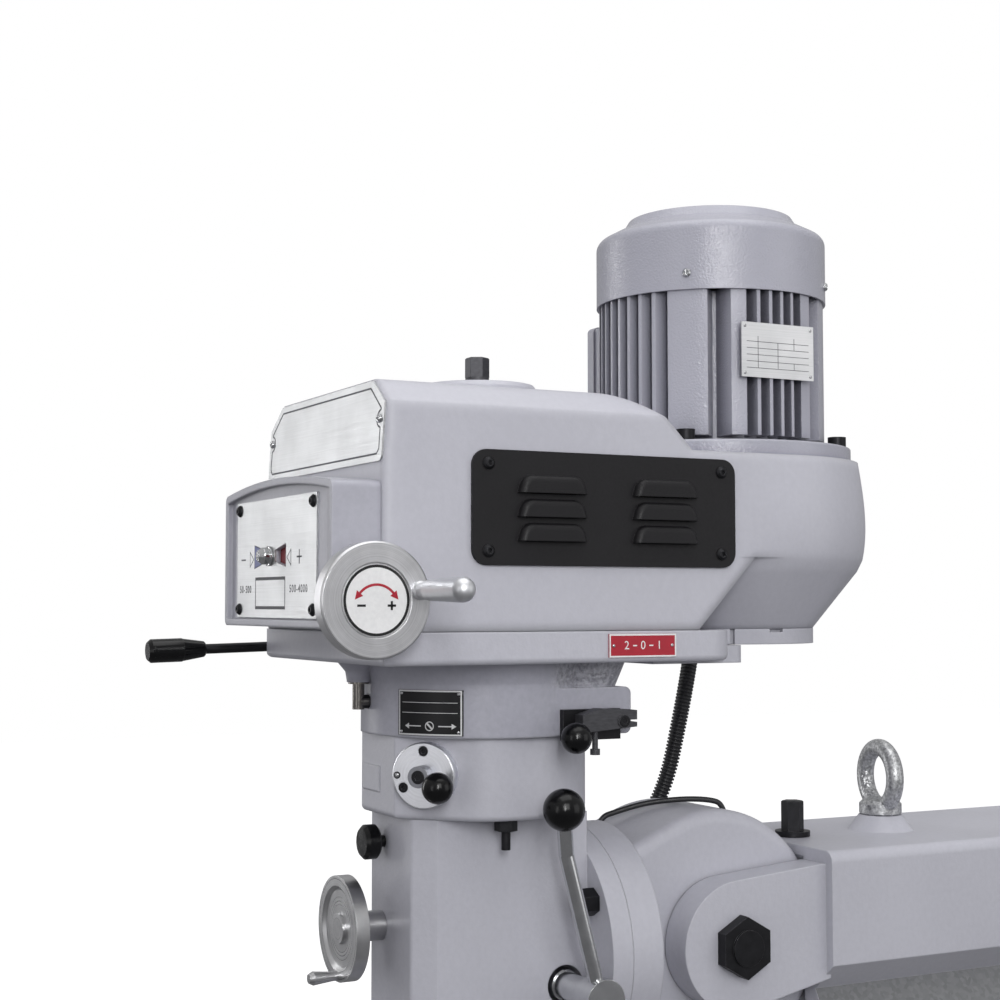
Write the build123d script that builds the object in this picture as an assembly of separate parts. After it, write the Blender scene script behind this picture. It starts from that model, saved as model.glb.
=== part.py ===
from build123d import *
import math
import os

# Variable-speed milling and drilling head on its ram, in millimetres.
# Origin: centre of the spindle nose. +Z runs up the spindle, -Y faces the operator,
# +X is the operator's right, where the speed handwheel sits.

# Clearances
fit = 0.05
gap = 0.3
press = 0.02

# Heights stacked up the spindle axis from the spindle nose
head_rise = 57.0
lower_head_height = 281.0
block_height = 69.5
gear_height = 62.5
base_height = 26.5
housing_height = 203.5
seat_drop = 48.0
tilt_rise = 158.0

# Quill, spindle and drawbar
quill_radius = 43.0
quill_length = 287.0
quill_travel = 127.0
spindle_drop = 38.0
spindle_radius = 17.0
spline_radius = 15.0
nose_radius = 28.0
socket_radius = 12.05
socket_mouth_radius = 15.9
socket_taper_length = 25.8
socket_depth = 104.0
drawbar_radius = 5.5
drawbar_collar_height = 10.0
drawbar_hex_across = 19.0
drawbar_hex_height = 18.0
spindle_stand = 12.0
quill_bearing_radius = 31.0
quill_bearing_width = 16.0
rack_pitch = 6.0
rack_width = 22.0
rack_depth = 2.2
rack_mesh = 1.0

# Lower head casting
head_front = 83.0
head_front_half = 43.0
head_half = 60.0
head_back = 78.0
flange_radius = 105.0
flange_thick = 20.0
spigot_radius = 40.0
spigot_length = 18.0
clamp_circle = 85.0
clamp_angle = 33.0
clamp_bolt_radius = 6.0
clamp_nut_across = 21.0
clamp_nut_height = 14.0
tee_half_width = 11.0
tee_depth = 9.0
tee_neck_half = 7.0
tee_neck_depth = 9.0

# Upper head block
block_front = 95.4
block_front_half = 36.0
block_radius = 96.0
block_round = 5.0
block_side_round = 58.0
block_front_round = 3.0
block_bore = 70.0
hang_x = 76.0
hang_y = -10.0

# Gear housing
gear_housing_radius = 103.0
gear_housing_bore = 88.0
gear_flare_radius = 108.0
gear_flare_height = 18.0
lobe_x = 58.0
lobe_face = 100.0
lobe_back = 99.0
lobe_bottom_rise = 0.5
lobe_height = 40.0
rough_boss_radius = 33.0
rough_boss_x = 68.0
rough_boss_y = 70.0
oil_boss_x = -4.0
oil_boss_y = -112.0
oil_boss_radius = 10.0
oil_boss_flare = 9.0
oil_pipe_radius = 5.2
oil_drop = 35.0
oil_foot = 6.5
oil_lid_radius = 8.9
oil_lid_thick = 1.6
oil_leg_radius = 5.9
oil_leg_depth = 5.0

# Housing base
housing_half = 137.0
housing_front = 149.0
base_back = 191.0
base_corner = 34.0
base_edge = 5.0
tongue_half = 95.0
tongue_front = 125.0
tongue_back = 223.0
tongue_drop = 3.5
tongue_corner = 10.0
tongue_height = 12.0
hub_bearing_radius = 40.0
hub_bearing_width = 16.0

# Belt housing
housing_wall = 8.0
motor_offset = 252.0
rear_foot = 94.5
rear_knee_height = 53.0
rear_knee_bulge = -0.5
rear_low_bulge = 4.6
rear_waist_bulge = 7.8
rear_waist_rise = 92.0
rear_upper_bulge = 6.2
rear_upper_drop = 33.0
rear_top_bulge = 1.6
rear_join = 185.0
front_edge = 4.0
roof_edge = 3.0
flare_height = 63.5
crease_low = 145.0
crease_high = 205.0
slope_corner = 92.0
slope_foot = 140.0
slope_round = 77.0
corner_drop = 20.0
corner_inset = 27.0
lean_gap = 0.5
lean_angle = 3.6
flange_relief = 4.0
seam_height = 0.8
seam_depth = 1.2
cap_radius = 54.0
cap_height = 14.0
cap_bore = 16.5
link_half = 60.0
link_rise = 68.0
link_height = 44.0
pulley_cover_radius = 95.0
pulley_cover_height = 14.0
pulley_slit_width = 4.0
pulley_slit_angle = 65.5
pulley_slot_width = 15.0
pulley_slot_depth = 3.0
pulley_slot_angle = 89.0
pulley_hole_radius = 80.0
motor_hole_radius = 92.0

# Vent covers
vent_front = -73.0
vent_length = 255.0
vent_rise = 54.0
vent_height = 94.0
vent_thick = 3.0
vent_corner = 13.0
vent_screw_inset = 14.5
louvre_length = 64.0
louvre_height = 14.8
louvre_slant = 4.5
louvre_corner = 10.5
louvre_proud = 7.0
louvre_pitch = 19.7
louvre_spread = 109.5
louvre_skin = 1.6

# Speed box and its plates
box_half = 132.0
box_reach = 42.0
box_rise = 3.5
box_side_height = 116.0
box_arch = 9.0
box_rim = 6.0
box_recess = 5.0
box_floor = 4.0
box_wall = 8.0
speed_plate_left = -107.0
speed_plate_width = 198.0
speed_plate_rise = 7.5
speed_plate_height = 101.5
plate_thick = 1.6
dial_x = -20.0
dial_rise = 60.0
dial_radius = 40.0
dial_thick = 3.0
dial_shaft_radius = 4.0
dial_nut_radius = 8.5
dial_nut_length = 11.0
window_inner = 12.0
window_outer = 40.0
window_inner_half = 5.0
window_outer_half = 10.0
front_plate_foot = 6.7
front_plate_margin = 1.5
front_plate_side = 3.5
front_plate_corner = 5.0
front_screw_inset = 11.0
range_plate_front = 55.0
range_plate_length = 66.0
range_plate_rise = 4.5
range_plate_height = 19.5
feed_plate_width = 59.0
feed_plate_height = 38.0
feed_plate_rise = 2.0
feed_plate_angle = -49.0
rating_plate_width = 80.0
rating_plate_height = 50.0
rating_plate_rise = 58.0

# Speed handwheel
wheel_drop = 25.5
wheel_inset = 24.0
wheel_radius = 45.5
wheel_stand = 12.0
wheel_thick = 17.5
wheel_recess_radius = 28.5
wheel_recess = 1.5
wheel_disc_radius = 27.5
wheel_disc_thick = 1.2
wheel_shaft_radius = 6.0
crank_radius = 37.0
crank_angle = 12.0
crank_root_radius = 6.2
crank_end_radius = 9.4
crank_shoulder_radius = 8.3
crank_length = 85.5

# Motor
motor_flange_radius = 132.0
motor_flange_thick = 14.0
motor_spigot = 6.0
motor_bolt_circle = 120.0
motor_bolt_radius = 5.0
motor_bolt_head = 8.5
motor_bolt_head_height = 10.0
frame_radius = 107.5
frame_core = 86.0
frame_bore = 75.0
frame_length = 141.0
fin_thick = 3.4
fin_pitch = 14.0
rib_thick = 13.5
rib_offset = 37.0
lug_width = 36.0
lug_depth = 50.0
side_fins = (6.2, 18.6)
fin_foot = 6.0
end_wall = 22.0
motor_bearing_radius = 31.0
motor_bearing_width = 16.0
motor_shaft_radius = 15.0
pulley_shaft_radius = 14.0
stator_bore = 46.0
stator_foot = 22.0
stator_head = 7.0
air_gap = 0.7
cover_radius = 110.0
cover_side = 62.0
cover_overlap = 2.0
cover_skin = 2.5
cover_round = 10.0
cover_screw_rise = 13.0
crown_radius = 84.0
crown_top_radius = 79.0
crown_rise = 13.5
crown_height = 8.0
fan_radius = 88.0
fan_blades = 9
fan_height = 34.0
fan_lift = 4.0
fan_stub = 40.0
terminal_half = 47.5
terminal_rise = 60.0
terminal_height = 76.0
terminal_depth = 36.0
terminal_lid = 15.0
terminal_pad = 104.0
gland_across = 21.0
gland_length = 18.0
gland_clear = 0.8

# Variable-speed pulleys and belt
belt_drop = 62.0
belt_half_width = 22.0
belt_thick = 13.0
belt_angle = 13.0
spindle_belt_radius = 86.0
spindle_disc_radius = 100.0
motor_belt_radius = 66.0
motor_disc_radius = 87.5
disc_rim = 5.0
disc_boss_length = 22.0
disc_boss_wall = 13.0
hub_radius = 25.0
hub_drop = 50.0
hub_top_clear = 6.0
gear_radius = 72.0
gear_thick = 24.0
gear_rise = 14.0
gear_teeth = 44
gear_tooth_depth = 4.0

# Feed hub and lever on the right front face
feed_hub_radius = 27.75
feed_hub_thick = 9.0
feed_screw_circle = 20.5
feed_hub_drop = 31.5
feed_hub_shift = 9.0
feed_lever_out = 24.0
feed_lever_side = 22.0
feed_lever_down = 7.0
feed_lever_rod = 4.5
feed_ball_radius = 13.0

# Range lever
range_pivot_y = 80.0
range_pivot_rise = 12.5
range_shaft_radius = 6.0
range_arm_front = 40.0
range_arm_back = 93.0
range_arm_thick = 14.0
range_arm_height = 22.0
range_block_front = 29.0
range_block_length = 56.0
range_block_thick = 6.0
range_ball_radius = 13.0
range_screw_set = 15.5

# Quill handle
pinion_radius = 16.2
pinion_teeth = 16
pinion_clear = 1.0
pinion_rise = 133.0
handle_hub_radius = 18.0
handle_neck_radius = 12.0
handle_neck_length = 45.0
handle_arm = 166.0
handle_arm_angle = 14.9
handle_arm_radius = 6.5
handle_arm_x = 120.0
handle_ball_radius = 17.5
handle_ball_x = 135.0

# Small controls on the head
fine_wheel_x = -20.0
fine_wheel_rise = 183.0
fine_wheel_radius = 45.0
fine_wheel_thick = 12.0
fine_wheel_stand = 29.0
fine_shaft_radius = 8.0
knob_x = -15.0
knob_rise = 256.0
knob_radius = 15.0
knob_length = 14.0
knob_stand = 7.0
knob_shaft_radius = 5.0
lock_y = -40.0
lock_rise = 50.0
lock_hub_radius = 11.0
lock_hub_length = 22.0
lock_arm = 68.0
lock_shaft_radius = 6.0

# Brake lever
brake_stand = 9.0
brake_pivot_inset = 60.0
brake_rise = 11.1
brake_shaft_radius = 6.0
brake_shaft_depth = 20.0
brake_hub_radius = 10.5
brake_rod_radius = 4.5
brake_rod_reach = 56.5
brake_slope = 1.5
brake_grip_radius = 10.7
brake_grip_neck = 7.2
brake_grip_length = 53.0

# Ram adapter and ram
adapter_flange = 30.0
nod_offset = 215.0
knuckle_radius = 116.0
knuckle_round = 12.0
neck_half_height = 84.0
knuckle_half = 60.0
pivot_radius = 16.0
cheek_radius = 58.0
cheek_thick = 33.0
pivot_nut_across = 48.0
pivot_nut_height = 12.0
ram_half = 105.0
ram_rise = 78.0
ram_side_drop = 25.0
ram_neck_half = 78.0
ram_neck_drop = 50.0
ram_foot_half = 105.0
ram_foot_drop = 95.0
ram_front = 95.0
ram_length = 590.0
ram_core_wall = 22.0
ram_core_start = 90.0
worm_radius = 11.0
worm_offset = 129.0
worm_drop = 46.0
worm_thread_pitch = 6.0
worm_collar_radius = 17.0
worm_collar_height = 5.0
worm_hex_across = 19.0
worm_hex_height = 29.0
eye_offset = 238.0
eye_boss_radius = 21.5
eye_boss_height = 15.0
eye_collar_radius = 21.0
eye_collar_rise = 14.0
eye_seat = 8.5
eye_ring_radius = 29.0
eye_bar_radius = 8.6
eye_turn = -9.5
eye_shank_radius = 10.0
eye_shank_length = 28.0

# Conduit from the motor to the ram adapter, and the small cable on the adapter
conduit_radius = 8.2
conduit_root_radius = 6.6
conduit_bore_radius = 5.6
conduit_pitch = 3.6
conduit_crest = 0.45
conduit_flank = 0.12
conduit_inset = 21.0
conduit_shift = 33.0
adapter_gland_y = 141.0
adapter_gland_drop = 8.0
adapter_gland_length = 24.0
cable_radius = 2.6

# Heights and planes worked out from the sizes above
lower_top = head_rise + lower_head_height
block_top = lower_top + block_height
gear_top = block_top + gear_height
base_top = gear_top + base_height
housing_top = base_top + housing_height
seat = housing_top - seat_drop
tilt = head_rise + tilt_rise
head_face = head_back + flange_thick
flange_face = head_face + gap
frame_bottom = seat + motor_flange_thick
frame_top = frame_bottom + frame_length
stator_length = frame_length - end_wall - stator_foot - stator_head
belt_level = seat - belt_drop
quill_top = spindle_drop + quill_length
spindle_top = housing_top + spindle_stand
hub_bottom = block_top - hub_drop
hub_top = housing_top - hub_top_clear
box_front = housing_front + box_reach
box_bottom = base_top + box_rise
box_top = box_bottom + box_side_height + box_arch
recess_floor = -box_front + box_recess
wheel_y = -box_front + wheel_inset
wheel_z = base_top + wheel_drop
wheel_face = housing_half + wheel_stand + wheel_thick
dial_z = box_bottom + dial_rise
lean_start = box_top + lean_gap
ram_top = tilt + ram_rise
ram_start = nod_offset + ram_front
pinion_y = quill_radius - rack_depth + pinion_radius - rack_mesh
pinion_z = head_rise + pinion_rise
base_low = gear_top


def cyl(radius, low, high, x=0.0, y=0.0):
    """Upright cylinder between two heights."""
    return Pos(x, y, low) * Cylinder(radius, high - low, align=(Align.CENTER, Align.CENTER, Align.MIN))


def block(x0, x1, y0, y1, z0, z1):
    """Box between two corners."""
    return Pos(x0, y0, z0) * Box(x1 - x0, y1 - y0, z1 - z0, align=(Align.MIN, Align.MIN, Align.MIN))


def rod(radius, start, end):
    """Round bar from one point to another."""
    way = Vector(*end) - Vector(*start)
    bar = Cylinder(radius, way.length, align=(Align.CENTER, Align.CENTER, Align.MIN))
    return Plane(origin=start, z_dir=way) * bar


def stood(part, origin, axis):
    """A part modelled upright at the origin, stood on a point with its +Z along an axis."""
    return Plane(origin=origin, z_dir=axis) * part


def turned(profile, origin=(0, 0, 0), axis=(0, 0, 1)):
    """Turned piece from (radius, height) points."""
    face = Plane.XZ * Polygon(*profile, align=None)
    return stood(revolve(face, Axis.Z), origin, axis)


def hexagon(across, low, high, x=0.0, y=0.0):
    """Upright hexagon bar."""
    face = RegularPolygon(across / 2, 6, major_radius=False)
    return Pos(x, y, low) * extrude(face, high - low)


def group(parts):
    """Separate solids kept together as one node."""
    found = []
    for part in parts:
        found.extend(part.solids())
    return Compound(found)


def bearing(inner, outer, low, width, x=0.0, y=0.0):
    """Shielded ball bearing: two races with the shields set back between them."""
    race = (outer - inner) / 4
    ring = cyl(outer, low, low + width, x, y) - cyl(inner, low, low + width, x, y)
    dish = cyl(outer - race, 0, race / 3) - cyl(inner + race, 0, race / 3)
    return ring - Pos(x, y, low) * dish - Pos(x, y, low + width - race / 3) * dish


def button_screw(radius, shank, length):
    """Button-head screw standing on z = 0 with its shank below and a socket in the head."""
    head_height = radius * 0.6
    head = turned([(0, 0), (radius, 0), (radius, head_height * 0.3), (radius * 0.6, head_height), (0, head_height)])
    socket = hexagon(radius * 0.75, head_height * 0.4, head_height + 1)
    return head + cyl(shank, -length, 0) - socket


def socket_screw(head, head_height, shank, length):
    """Socket-head cap screw standing on z = 0 with its shank below."""
    body = cyl(head, 0, head_height) + cyl(shank, -length, 0)
    return body - hexagon(head, head_height * 0.5, head_height + 1)


def pan_screw(radius, shank, length):
    """Small cross-head screw standing on z = 0 with its shank below."""
    height = radius * 0.7
    head = turned([(0, 0), (radius, 0), (radius, height * 0.5), (radius * 0.7, height), (0, height)])
    slot = Box(radius * 1.2, radius * 0.3, height) + Box(radius * 0.3, radius * 1.2, height)
    return head + cyl(shank, -length, 0) - Pos(0, 0, height) * slot


def toothed(radius, depth, count, low, high):
    """Spur gear blank with straight-flanked gaps cut round it."""
    gear = cyl(radius, low, high)
    root = math.pi * radius / count
    gap_face = Polygon((radius - depth, -root * 0.42), (radius + 1, -root * 0.8), (radius + 1, root * 0.8),
                       (radius - depth, root * 0.42), align=None)
    cutter = Pos(0, 0, low) * extrude(gap_face, high - low)
    return gear - [Rot(0, 0, i * 360 / count) * cutter for i in range(count)]


# Spindle group

def quill():
    body = cyl(quill_radius, spindle_drop, quill_top)
    body -= cyl(spindle_radius + gap + 6, spindle_drop, quill_top)
    for low in quill_bearing_levels():
        body -= cyl(quill_bearing_radius, low, low + quill_bearing_width)
    body -= cyl(quill_bearing_radius, spindle_drop, quill_bearing_levels()[0])
    body -= cyl(quill_bearing_radius, quill_bearing_levels()[-1], quill_top)
    rack_bottom = spindle_drop + 20
    rack_top = quill_top
    flat = block(-rack_width / 2, rack_width / 2, quill_radius - rack_depth, quill_radius + 1, rack_bottom, rack_top + 1)
    teeth = []
    count = int((rack_top - rack_bottom) / rack_pitch)
    for i in range(count):
        low = rack_bottom + (i + 0.25) * rack_pitch
        teeth.append(block(-rack_width / 2, rack_width / 2, quill_radius - 2 * rack_depth, quill_radius,
                           low, low + rack_pitch / 2))
    return body - flat - teeth


def quill_bearing_levels():
    """Undersides of the two lower bearings and the upper one."""
    first = spindle_drop + 6
    return [first, first + quill_bearing_width, quill_top - 6 - quill_bearing_width]


def spindle_bearings():
    return group([bearing(spindle_radius + fit, quill_bearing_radius - press, low, quill_bearing_width)
                  for low in quill_bearing_levels()])


def spindle():
    shoulder = spindle_drop - 3
    spline_start = quill_top + 4
    body = turned([(0, 0), (nose_radius - 2, 0), (nose_radius, 2), (nose_radius, shoulder),
                   (spindle_radius, shoulder), (spindle_radius, spline_start), (spline_radius, spline_start),
                   (spline_radius, spindle_top), (0, spindle_top)])
    body -= cyl(drawbar_radius + gap, 0, spindle_top)
    body -= cyl(socket_radius, 0, socket_depth)
    body -= turned([(0, 0), (socket_mouth_radius, 0), (socket_radius, socket_taper_length), (0, socket_taper_length)])
    groove = block(spline_radius - 1.8, spline_radius + 1, -2, 2, spline_start, spindle_top)
    return body - [Rot(0, 0, i * 60) * groove for i in range(6)]


def drawbar():
    seat_level = spindle_top + gap
    collar_top = seat_level + drawbar_collar_height
    bar = cyl(drawbar_radius, socket_depth + 2, seat_level)
    bar += cyl(drawbar_hex_across / 2 + 1.2, seat_level, collar_top)
    head = hexagon(drawbar_hex_across, collar_top, collar_top + drawbar_hex_height)
    return bar + chamfer(head.edges().group_by(Axis.Z)[-1], 1.0)


# Pulleys, belt and the hub that turns the spindle

def pulley_disc(bore, boss_radius, rim_radius, belt_radius):
    """Upper half of an opening pulley, with the belt's middle plane at z = 0."""
    slope = math.tan(math.radians(belt_angle))
    inner = belt_half_width + (boss_radius - belt_radius) * slope
    rim = belt_half_width + (rim_radius - belt_radius) * slope
    back = rim + disc_rim
    return turned([(bore, inner), (boss_radius, inner), (rim_radius, rim), (rim_radius, back),
                   (boss_radius, back + disc_rim), (boss_radius, back + disc_boss_length),
                   (bore, back + disc_boss_length)])


def spindle_disc():
    return pulley_disc(hub_radius + fit, hub_radius + disc_boss_wall, spindle_disc_radius, spindle_belt_radius)


def motor_disc():
    return pulley_disc(pulley_shaft_radius + fit, pulley_shaft_radius + disc_boss_wall, motor_disc_radius,
                       motor_belt_radius)


def spindle_disc_sliding():
    return Pos(0, 0, belt_level) * spindle_disc()


def spindle_disc_fixed():
    return Pos(0, 0, belt_level) * mirror(spindle_disc(), about=Plane.XY)


def motor_disc_fixed():
    return Pos(0, motor_offset, belt_level) * motor_disc()


def motor_disc_sliding():
    return Pos(0, motor_offset, belt_level) * mirror(motor_disc(), about=Plane.XY)


def belt_outline(inset):
    big = Circle(spindle_belt_radius - inset)
    small = Pos(0, motor_offset) * Circle(motor_belt_radius - inset)
    return make_hull(big.edges() + small.edges())


def drive_belt():
    half = belt_half_width - belt_thick * math.tan(math.radians(belt_angle)) - gap
    outer = extrude(belt_outline(0), half, both=True)
    inner = extrude(belt_outline(belt_thick), half, both=True)
    return Pos(0, 0, belt_level) * (outer - inner)


def pulley_hub():
    gear_low = block_top + gear_rise
    body = cyl(hub_radius, hub_bottom, hub_top)
    body += toothed(gear_radius, gear_tooth_depth, gear_teeth, gear_low, gear_low + gear_thick)
    return body - cyl(spline_radius + fit, hub_bottom, hub_top)


def hub_bearing_levels():
    """Undersides of the bearings in the housing base and under the housing top."""
    return [gear_top + 4, housing_top - housing_wall - hub_bearing_width - 4]


def motor_bearing_levels():
    """Undersides of the bearings in the motor flange and in the frame's end wall."""
    return [seat - motor_spigot + 3, frame_top - 2 - motor_bearing_width]


def ball_bearings():
    rings = [bearing(hub_radius + fit, hub_bearing_radius - press, low, hub_bearing_width)
             for low in hub_bearing_levels()]
    rings += [bearing(motor_shaft_radius + fit, motor_bearing_radius - press, low, motor_bearing_width,
                      0, motor_offset) for low in motor_bearing_levels()]
    return group(rings)


# Head castings

def block_outline():
    """Plan of the upper head block: flat front, 45 degree faces, round back."""
    corner = block_front - (block_radius - block_front_half)
    front = Polygon((-block_front_half, -block_front), (block_front_half, -block_front), (block_radius, -corner),
                    (block_radius, 0), (-block_radius, 0), (-block_radius, -corner), align=None)
    front = fillet([v for v in front.vertices() if abs(v.Y + corner) < 0.1], block_side_round)
    front = fillet([v for v in front.vertices() if abs(v.Y + block_front) < 0.1], block_front_round)
    back = Circle(block_radius) & (Pos(0, block_radius / 2) * Rectangle(2 * block_radius, block_radius))
    return front + back


def clamp_points():
    """Centres of the four tilt clamp bolts on the head flange."""
    x = clamp_circle * math.cos(math.radians(clamp_angle))
    z = clamp_circle * math.sin(math.radians(clamp_angle))
    return [(sx * x, tilt + sz * z) for sx in (-1, 1) for sz in (-1, 1)]


def feed_face():
    """Plane of the right 45 degree face, at the middle of the feed hub."""
    reach = (block_front + block_front_half) / 2 - feed_hub_shift
    depth = block_front + block_front_half - reach
    return Plane(origin=(reach, -depth, block_top - feed_hub_drop), x_dir=(1, 1, 0), z_dir=(1, -1, 0))


def head_casting():
    shoulder = head_half - head_front_half
    plan = Polygon((-head_front_half, -head_front), (head_front_half, -head_front),
                   (head_half, shoulder - head_front), (head_half, head_back), (-head_half, head_back),
                   (-head_half, shoulder - head_front), align=None)
    body = Pos(0, 0, head_rise) * extrude(plan, lower_head_height)
    body = fillet(body.edges().filter_by(Axis.Z).group_by(Axis.Y)[0], 6)
    upper = Pos(0, 0, lower_top) * extrude(block_outline(), block_height)
    body += fillet(upper.edges().group_by(Axis.Z)[0], block_round)
    body += rod(flange_radius, (0, head_back, tilt), (0, head_face, tilt))
    body += rod(spigot_radius, (0, head_face, tilt), (0, head_face + spigot_length, tilt))
    body += block(-31, 5, -block_front - 1.2, -block_front, lower_top + 20, lower_top + 42)
    body -= cyl(quill_radius + fit, head_rise, lower_top)
    body -= cyl(block_bore, lower_top, block_top)
    body -= rod(pinion_radius + pinion_clear, (-rack_width / 2 - 4, pinion_y, pinion_z), (head_half, pinion_y, pinion_z))
    for x, z in clamp_points():
        body -= rod(clamp_bolt_radius + gap, (x, head_back, z), (x, head_face, z))
    body -= feed_face() * cyl(feed_lever_rod + 2 + fit, -22, 0)
    for screw_x, screw_y in feed_screw_points():
        body -= feed_face() * cyl(2.5, -10, 0, screw_x, screw_y)
    body -= rod(fine_shaft_radius + fit, (fine_wheel_x, -head_front, fine_wheel_z()),
                (fine_wheel_x, -head_front + 20, fine_wheel_z()))
    body -= rod(knob_shaft_radius + fit, (knob_x, -head_front, knob_z()), (knob_x, -head_front + 26, knob_z()))
    body -= rod(lock_shaft_radius + fit, (head_half - 14, lock_y, lock_z()), (head_half, lock_y, lock_z()))
    body -= cyl(4.0, lower_top, lower_top + 14, hang_x, hang_y)
    return body


def fine_wheel_z():
    return head_rise + fine_wheel_rise


def knob_z():
    return head_rise + knob_rise


def lock_z():
    return head_rise + lock_rise


def head_clamp_bolts():
    """Four tee bolts through the head flange, with their nuts on the operator's side."""
    neck_end = flange_face + tee_neck_depth
    bolts = []
    for x, z in clamp_points():
        shank = rod(clamp_bolt_radius, (x, head_back - clamp_nut_height - 4, z), (x, neck_end + gap, z))
        head = rod(tee_half_width - 1.0, (x, neck_end + gap, z), (x, neck_end + tee_depth - gap, z))
        nut = stood(hexagon(clamp_nut_across, 0, clamp_nut_height), (x, head_back, z), (0, -1, 0))
        bolts.append(shank + head + nut)
    return group(bolts)


def gear_housing():
    body = cyl(gear_housing_radius, block_top, gear_top)
    flare = gear_top - gear_flare_height
    body += turned([(0, flare), (gear_housing_radius, flare), (gear_flare_radius, gear_top), (0, gear_top)])
    lobe_low = block_top + lobe_bottom_rise
    lobe = block(lobe_x - 40, lobe_face, 0, lobe_back, lobe_low, lobe_low + lobe_height)
    lobe = fillet(lobe.edges().filter_by(Axis.X).group_by(Axis.Y)[-1], 6)
    body += lobe
    rough = turned([(0, lobe_low + lobe_height - 2), (rough_boss_radius - 6, lobe_low + lobe_height - 2),
                    (rough_boss_radius + 4, gear_top), (0, gear_top)], (rough_boss_x, rough_boss_y, 0))
    body += rough
    boss = turned([(0, gear_flare_height), (oil_boss_radius, gear_flare_height),
                   (oil_boss_radius + 1.5, gear_flare_height * 0.5), (oil_boss_radius + oil_boss_flare, 0), (0, 0)],
                  (oil_boss_x, oil_boss_y, gear_top), (0, 0, -1))
    body += boss
    body -= cyl(gear_housing_bore, block_top, gear_top)
    body -= cyl(oil_pipe_radius + press, gear_top - gear_flare_height, gear_top, oil_boss_x, oil_boss_y)
    body -= rod(oil_leg_radius + press, (oil_boss_x, oil_boss_y, oil_leg_z()),
                (oil_boss_x, oil_leg_end(), oil_leg_z()))
    body -= rod(range_shaft_radius + fit, (lobe_x, range_pivot_y, range_z()), (lobe_face, range_pivot_y, range_z()))
    return body


def range_z():
    return block_top + range_pivot_rise


def base_outline(height):
    plan = block(-housing_half, housing_half, -housing_front, base_back, base_low, base_low + height)
    return fillet(plan.edges().filter_by(Axis.Z).group_by(Axis.Y)[-1], base_corner)


def housing_base():
    body = base_outline(base_height)
    body = fillet(body.edges().group_by(Axis.Z)[0], base_edge)
    tongue = block(-tongue_half, tongue_half, tongue_front, tongue_back, base_low - tongue_drop,
                   base_low + tongue_height)
    body += fillet(tongue.edges().filter_by(Axis.Z).group_by(Axis.Y)[-1], tongue_corner)
    body -= cyl(pulley_cover_radius + gap, base_top - pulley_cover_height - gap, base_top, 0, motor_offset)
    low, high = hub_bearing_levels()
    body -= cyl(hub_bearing_radius, low, base_top)
    body -= cyl(hub_radius + 3, base_low, base_top)
    pivot = brake_rod_ends()[0]
    body -= rod(brake_shaft_radius + fit, (-housing_half, pivot[1], pivot[2]),
                (-housing_half + brake_shaft_depth, pivot[1], pivot[2]))
    return body


def side_profile(inset):
    """Side view of the belt housing in (y, z), drawn in by the wall for its hollow."""
    lean = (housing_top - lean_start) * math.tan(math.radians(lean_angle))
    flare_top = base_top + flare_height
    outline = Polygon((-housing_front, base_top), (crease_low, base_top), (crease_high, flare_top),
                      (motor_offset, flare_top), (motor_offset, seat), (slope_foot, seat),
                      (slope_corner, housing_top), (-housing_front + lean, housing_top),
                      (-housing_front, lean_start), align=None)
    corner = outline.vertices().sort_by_distance((slope_corner, housing_top, 0))[0]
    outline = fillet(corner, slope_round)
    if inset:
        outline = offset(outline, -inset, kind=Kind.INTERSECTION)
    return Plane.YZ * outline


def housing_shell(inset):
    """Outer form of the belt housing, or its hollow when drawn in by the wall."""
    half = housing_half - inset
    body = extrude(side_profile(inset), half, both=True)
    corner = Polygon((housing_half - corner_inset - inset, housing_top - inset + 0.0),
                     (housing_half - inset + 1, housing_top - corner_drop - inset - corner_drop / corner_inset),
                     (housing_half - inset + 1, housing_top + 1), (housing_half - corner_inset - inset, housing_top + 1),
                     align=None)
    trim = extrude(Plane.XZ * corner, 600, both=True)
    body -= trim
    body -= mirror(trim, about=Plane.YZ)
    if not inset:
        body = soft_edges(body)
    relief = cyl(motor_flange_radius + flange_relief, seat, housing_top + 1, 0, motor_offset)
    if not inset:
        body -= relief
    flare_top = base_top + flare_height
    low = base_top + inset
    high = flare_top if not inset else seat - inset
    flare = [(0, low), (rear_foot - inset, low),
             (housing_half + rear_knee_bulge - inset, base_top + rear_knee_height),
             (housing_half + rear_low_bulge - inset, flare_top)]
    if inset:
        flare.append((housing_half + rear_top_bulge - inset, high))
    body += turned(flare + [(0, high)], (0, motor_offset, 0))
    if not inset:
        body += rear_barrel()
    return body


def soft_edges(body):
    """Cast radii on the upright front corners and along the roof."""
    front = [e for e in body.edges() if e.bounding_box().max.Y < -housing_front + 9
             and abs(e.center().X) > housing_half - 1 and e.bounding_box().size.Z > 20]
    body = fillet(front, front_edge)
    roof = [e for e in body.edges() if abs(e.center().X) > housing_half - corner_inset - 1
            and e.center().Z > housing_top - corner_drop - 2 and e.bounding_box().size.Y > 100]
    return fillet(roof, roof_edge)


def rear_section(z, radius):
    """Plan of the rear: flat sides drawn tangent on to the round about the motor."""
    back = rear_join - motor_offset
    reach = math.hypot(housing_half, back)
    angle = math.atan2(back, housing_half) + math.acos(radius / reach)
    x = radius * math.cos(angle)
    y = motor_offset + radius * math.sin(angle)
    side = Polyline((x, y), (housing_half, rear_join), (-housing_half, rear_join), (-x, y))
    return Pos(0, 0, z) * make_face([side, ThreePointArc((-x, y), (0, motor_offset + radius), (x, y))])


def rear_barrel():
    """Bulged wall round the motor end, above the flare."""
    levels = [(base_top + flare_height, rear_low_bulge), (base_top + rear_waist_rise, rear_waist_bulge),
              (seat - rear_upper_drop, rear_upper_bulge), (seat, rear_top_bulge)]
    return loft([rear_section(z, housing_half + bulge) for z, bulge in levels])


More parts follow.
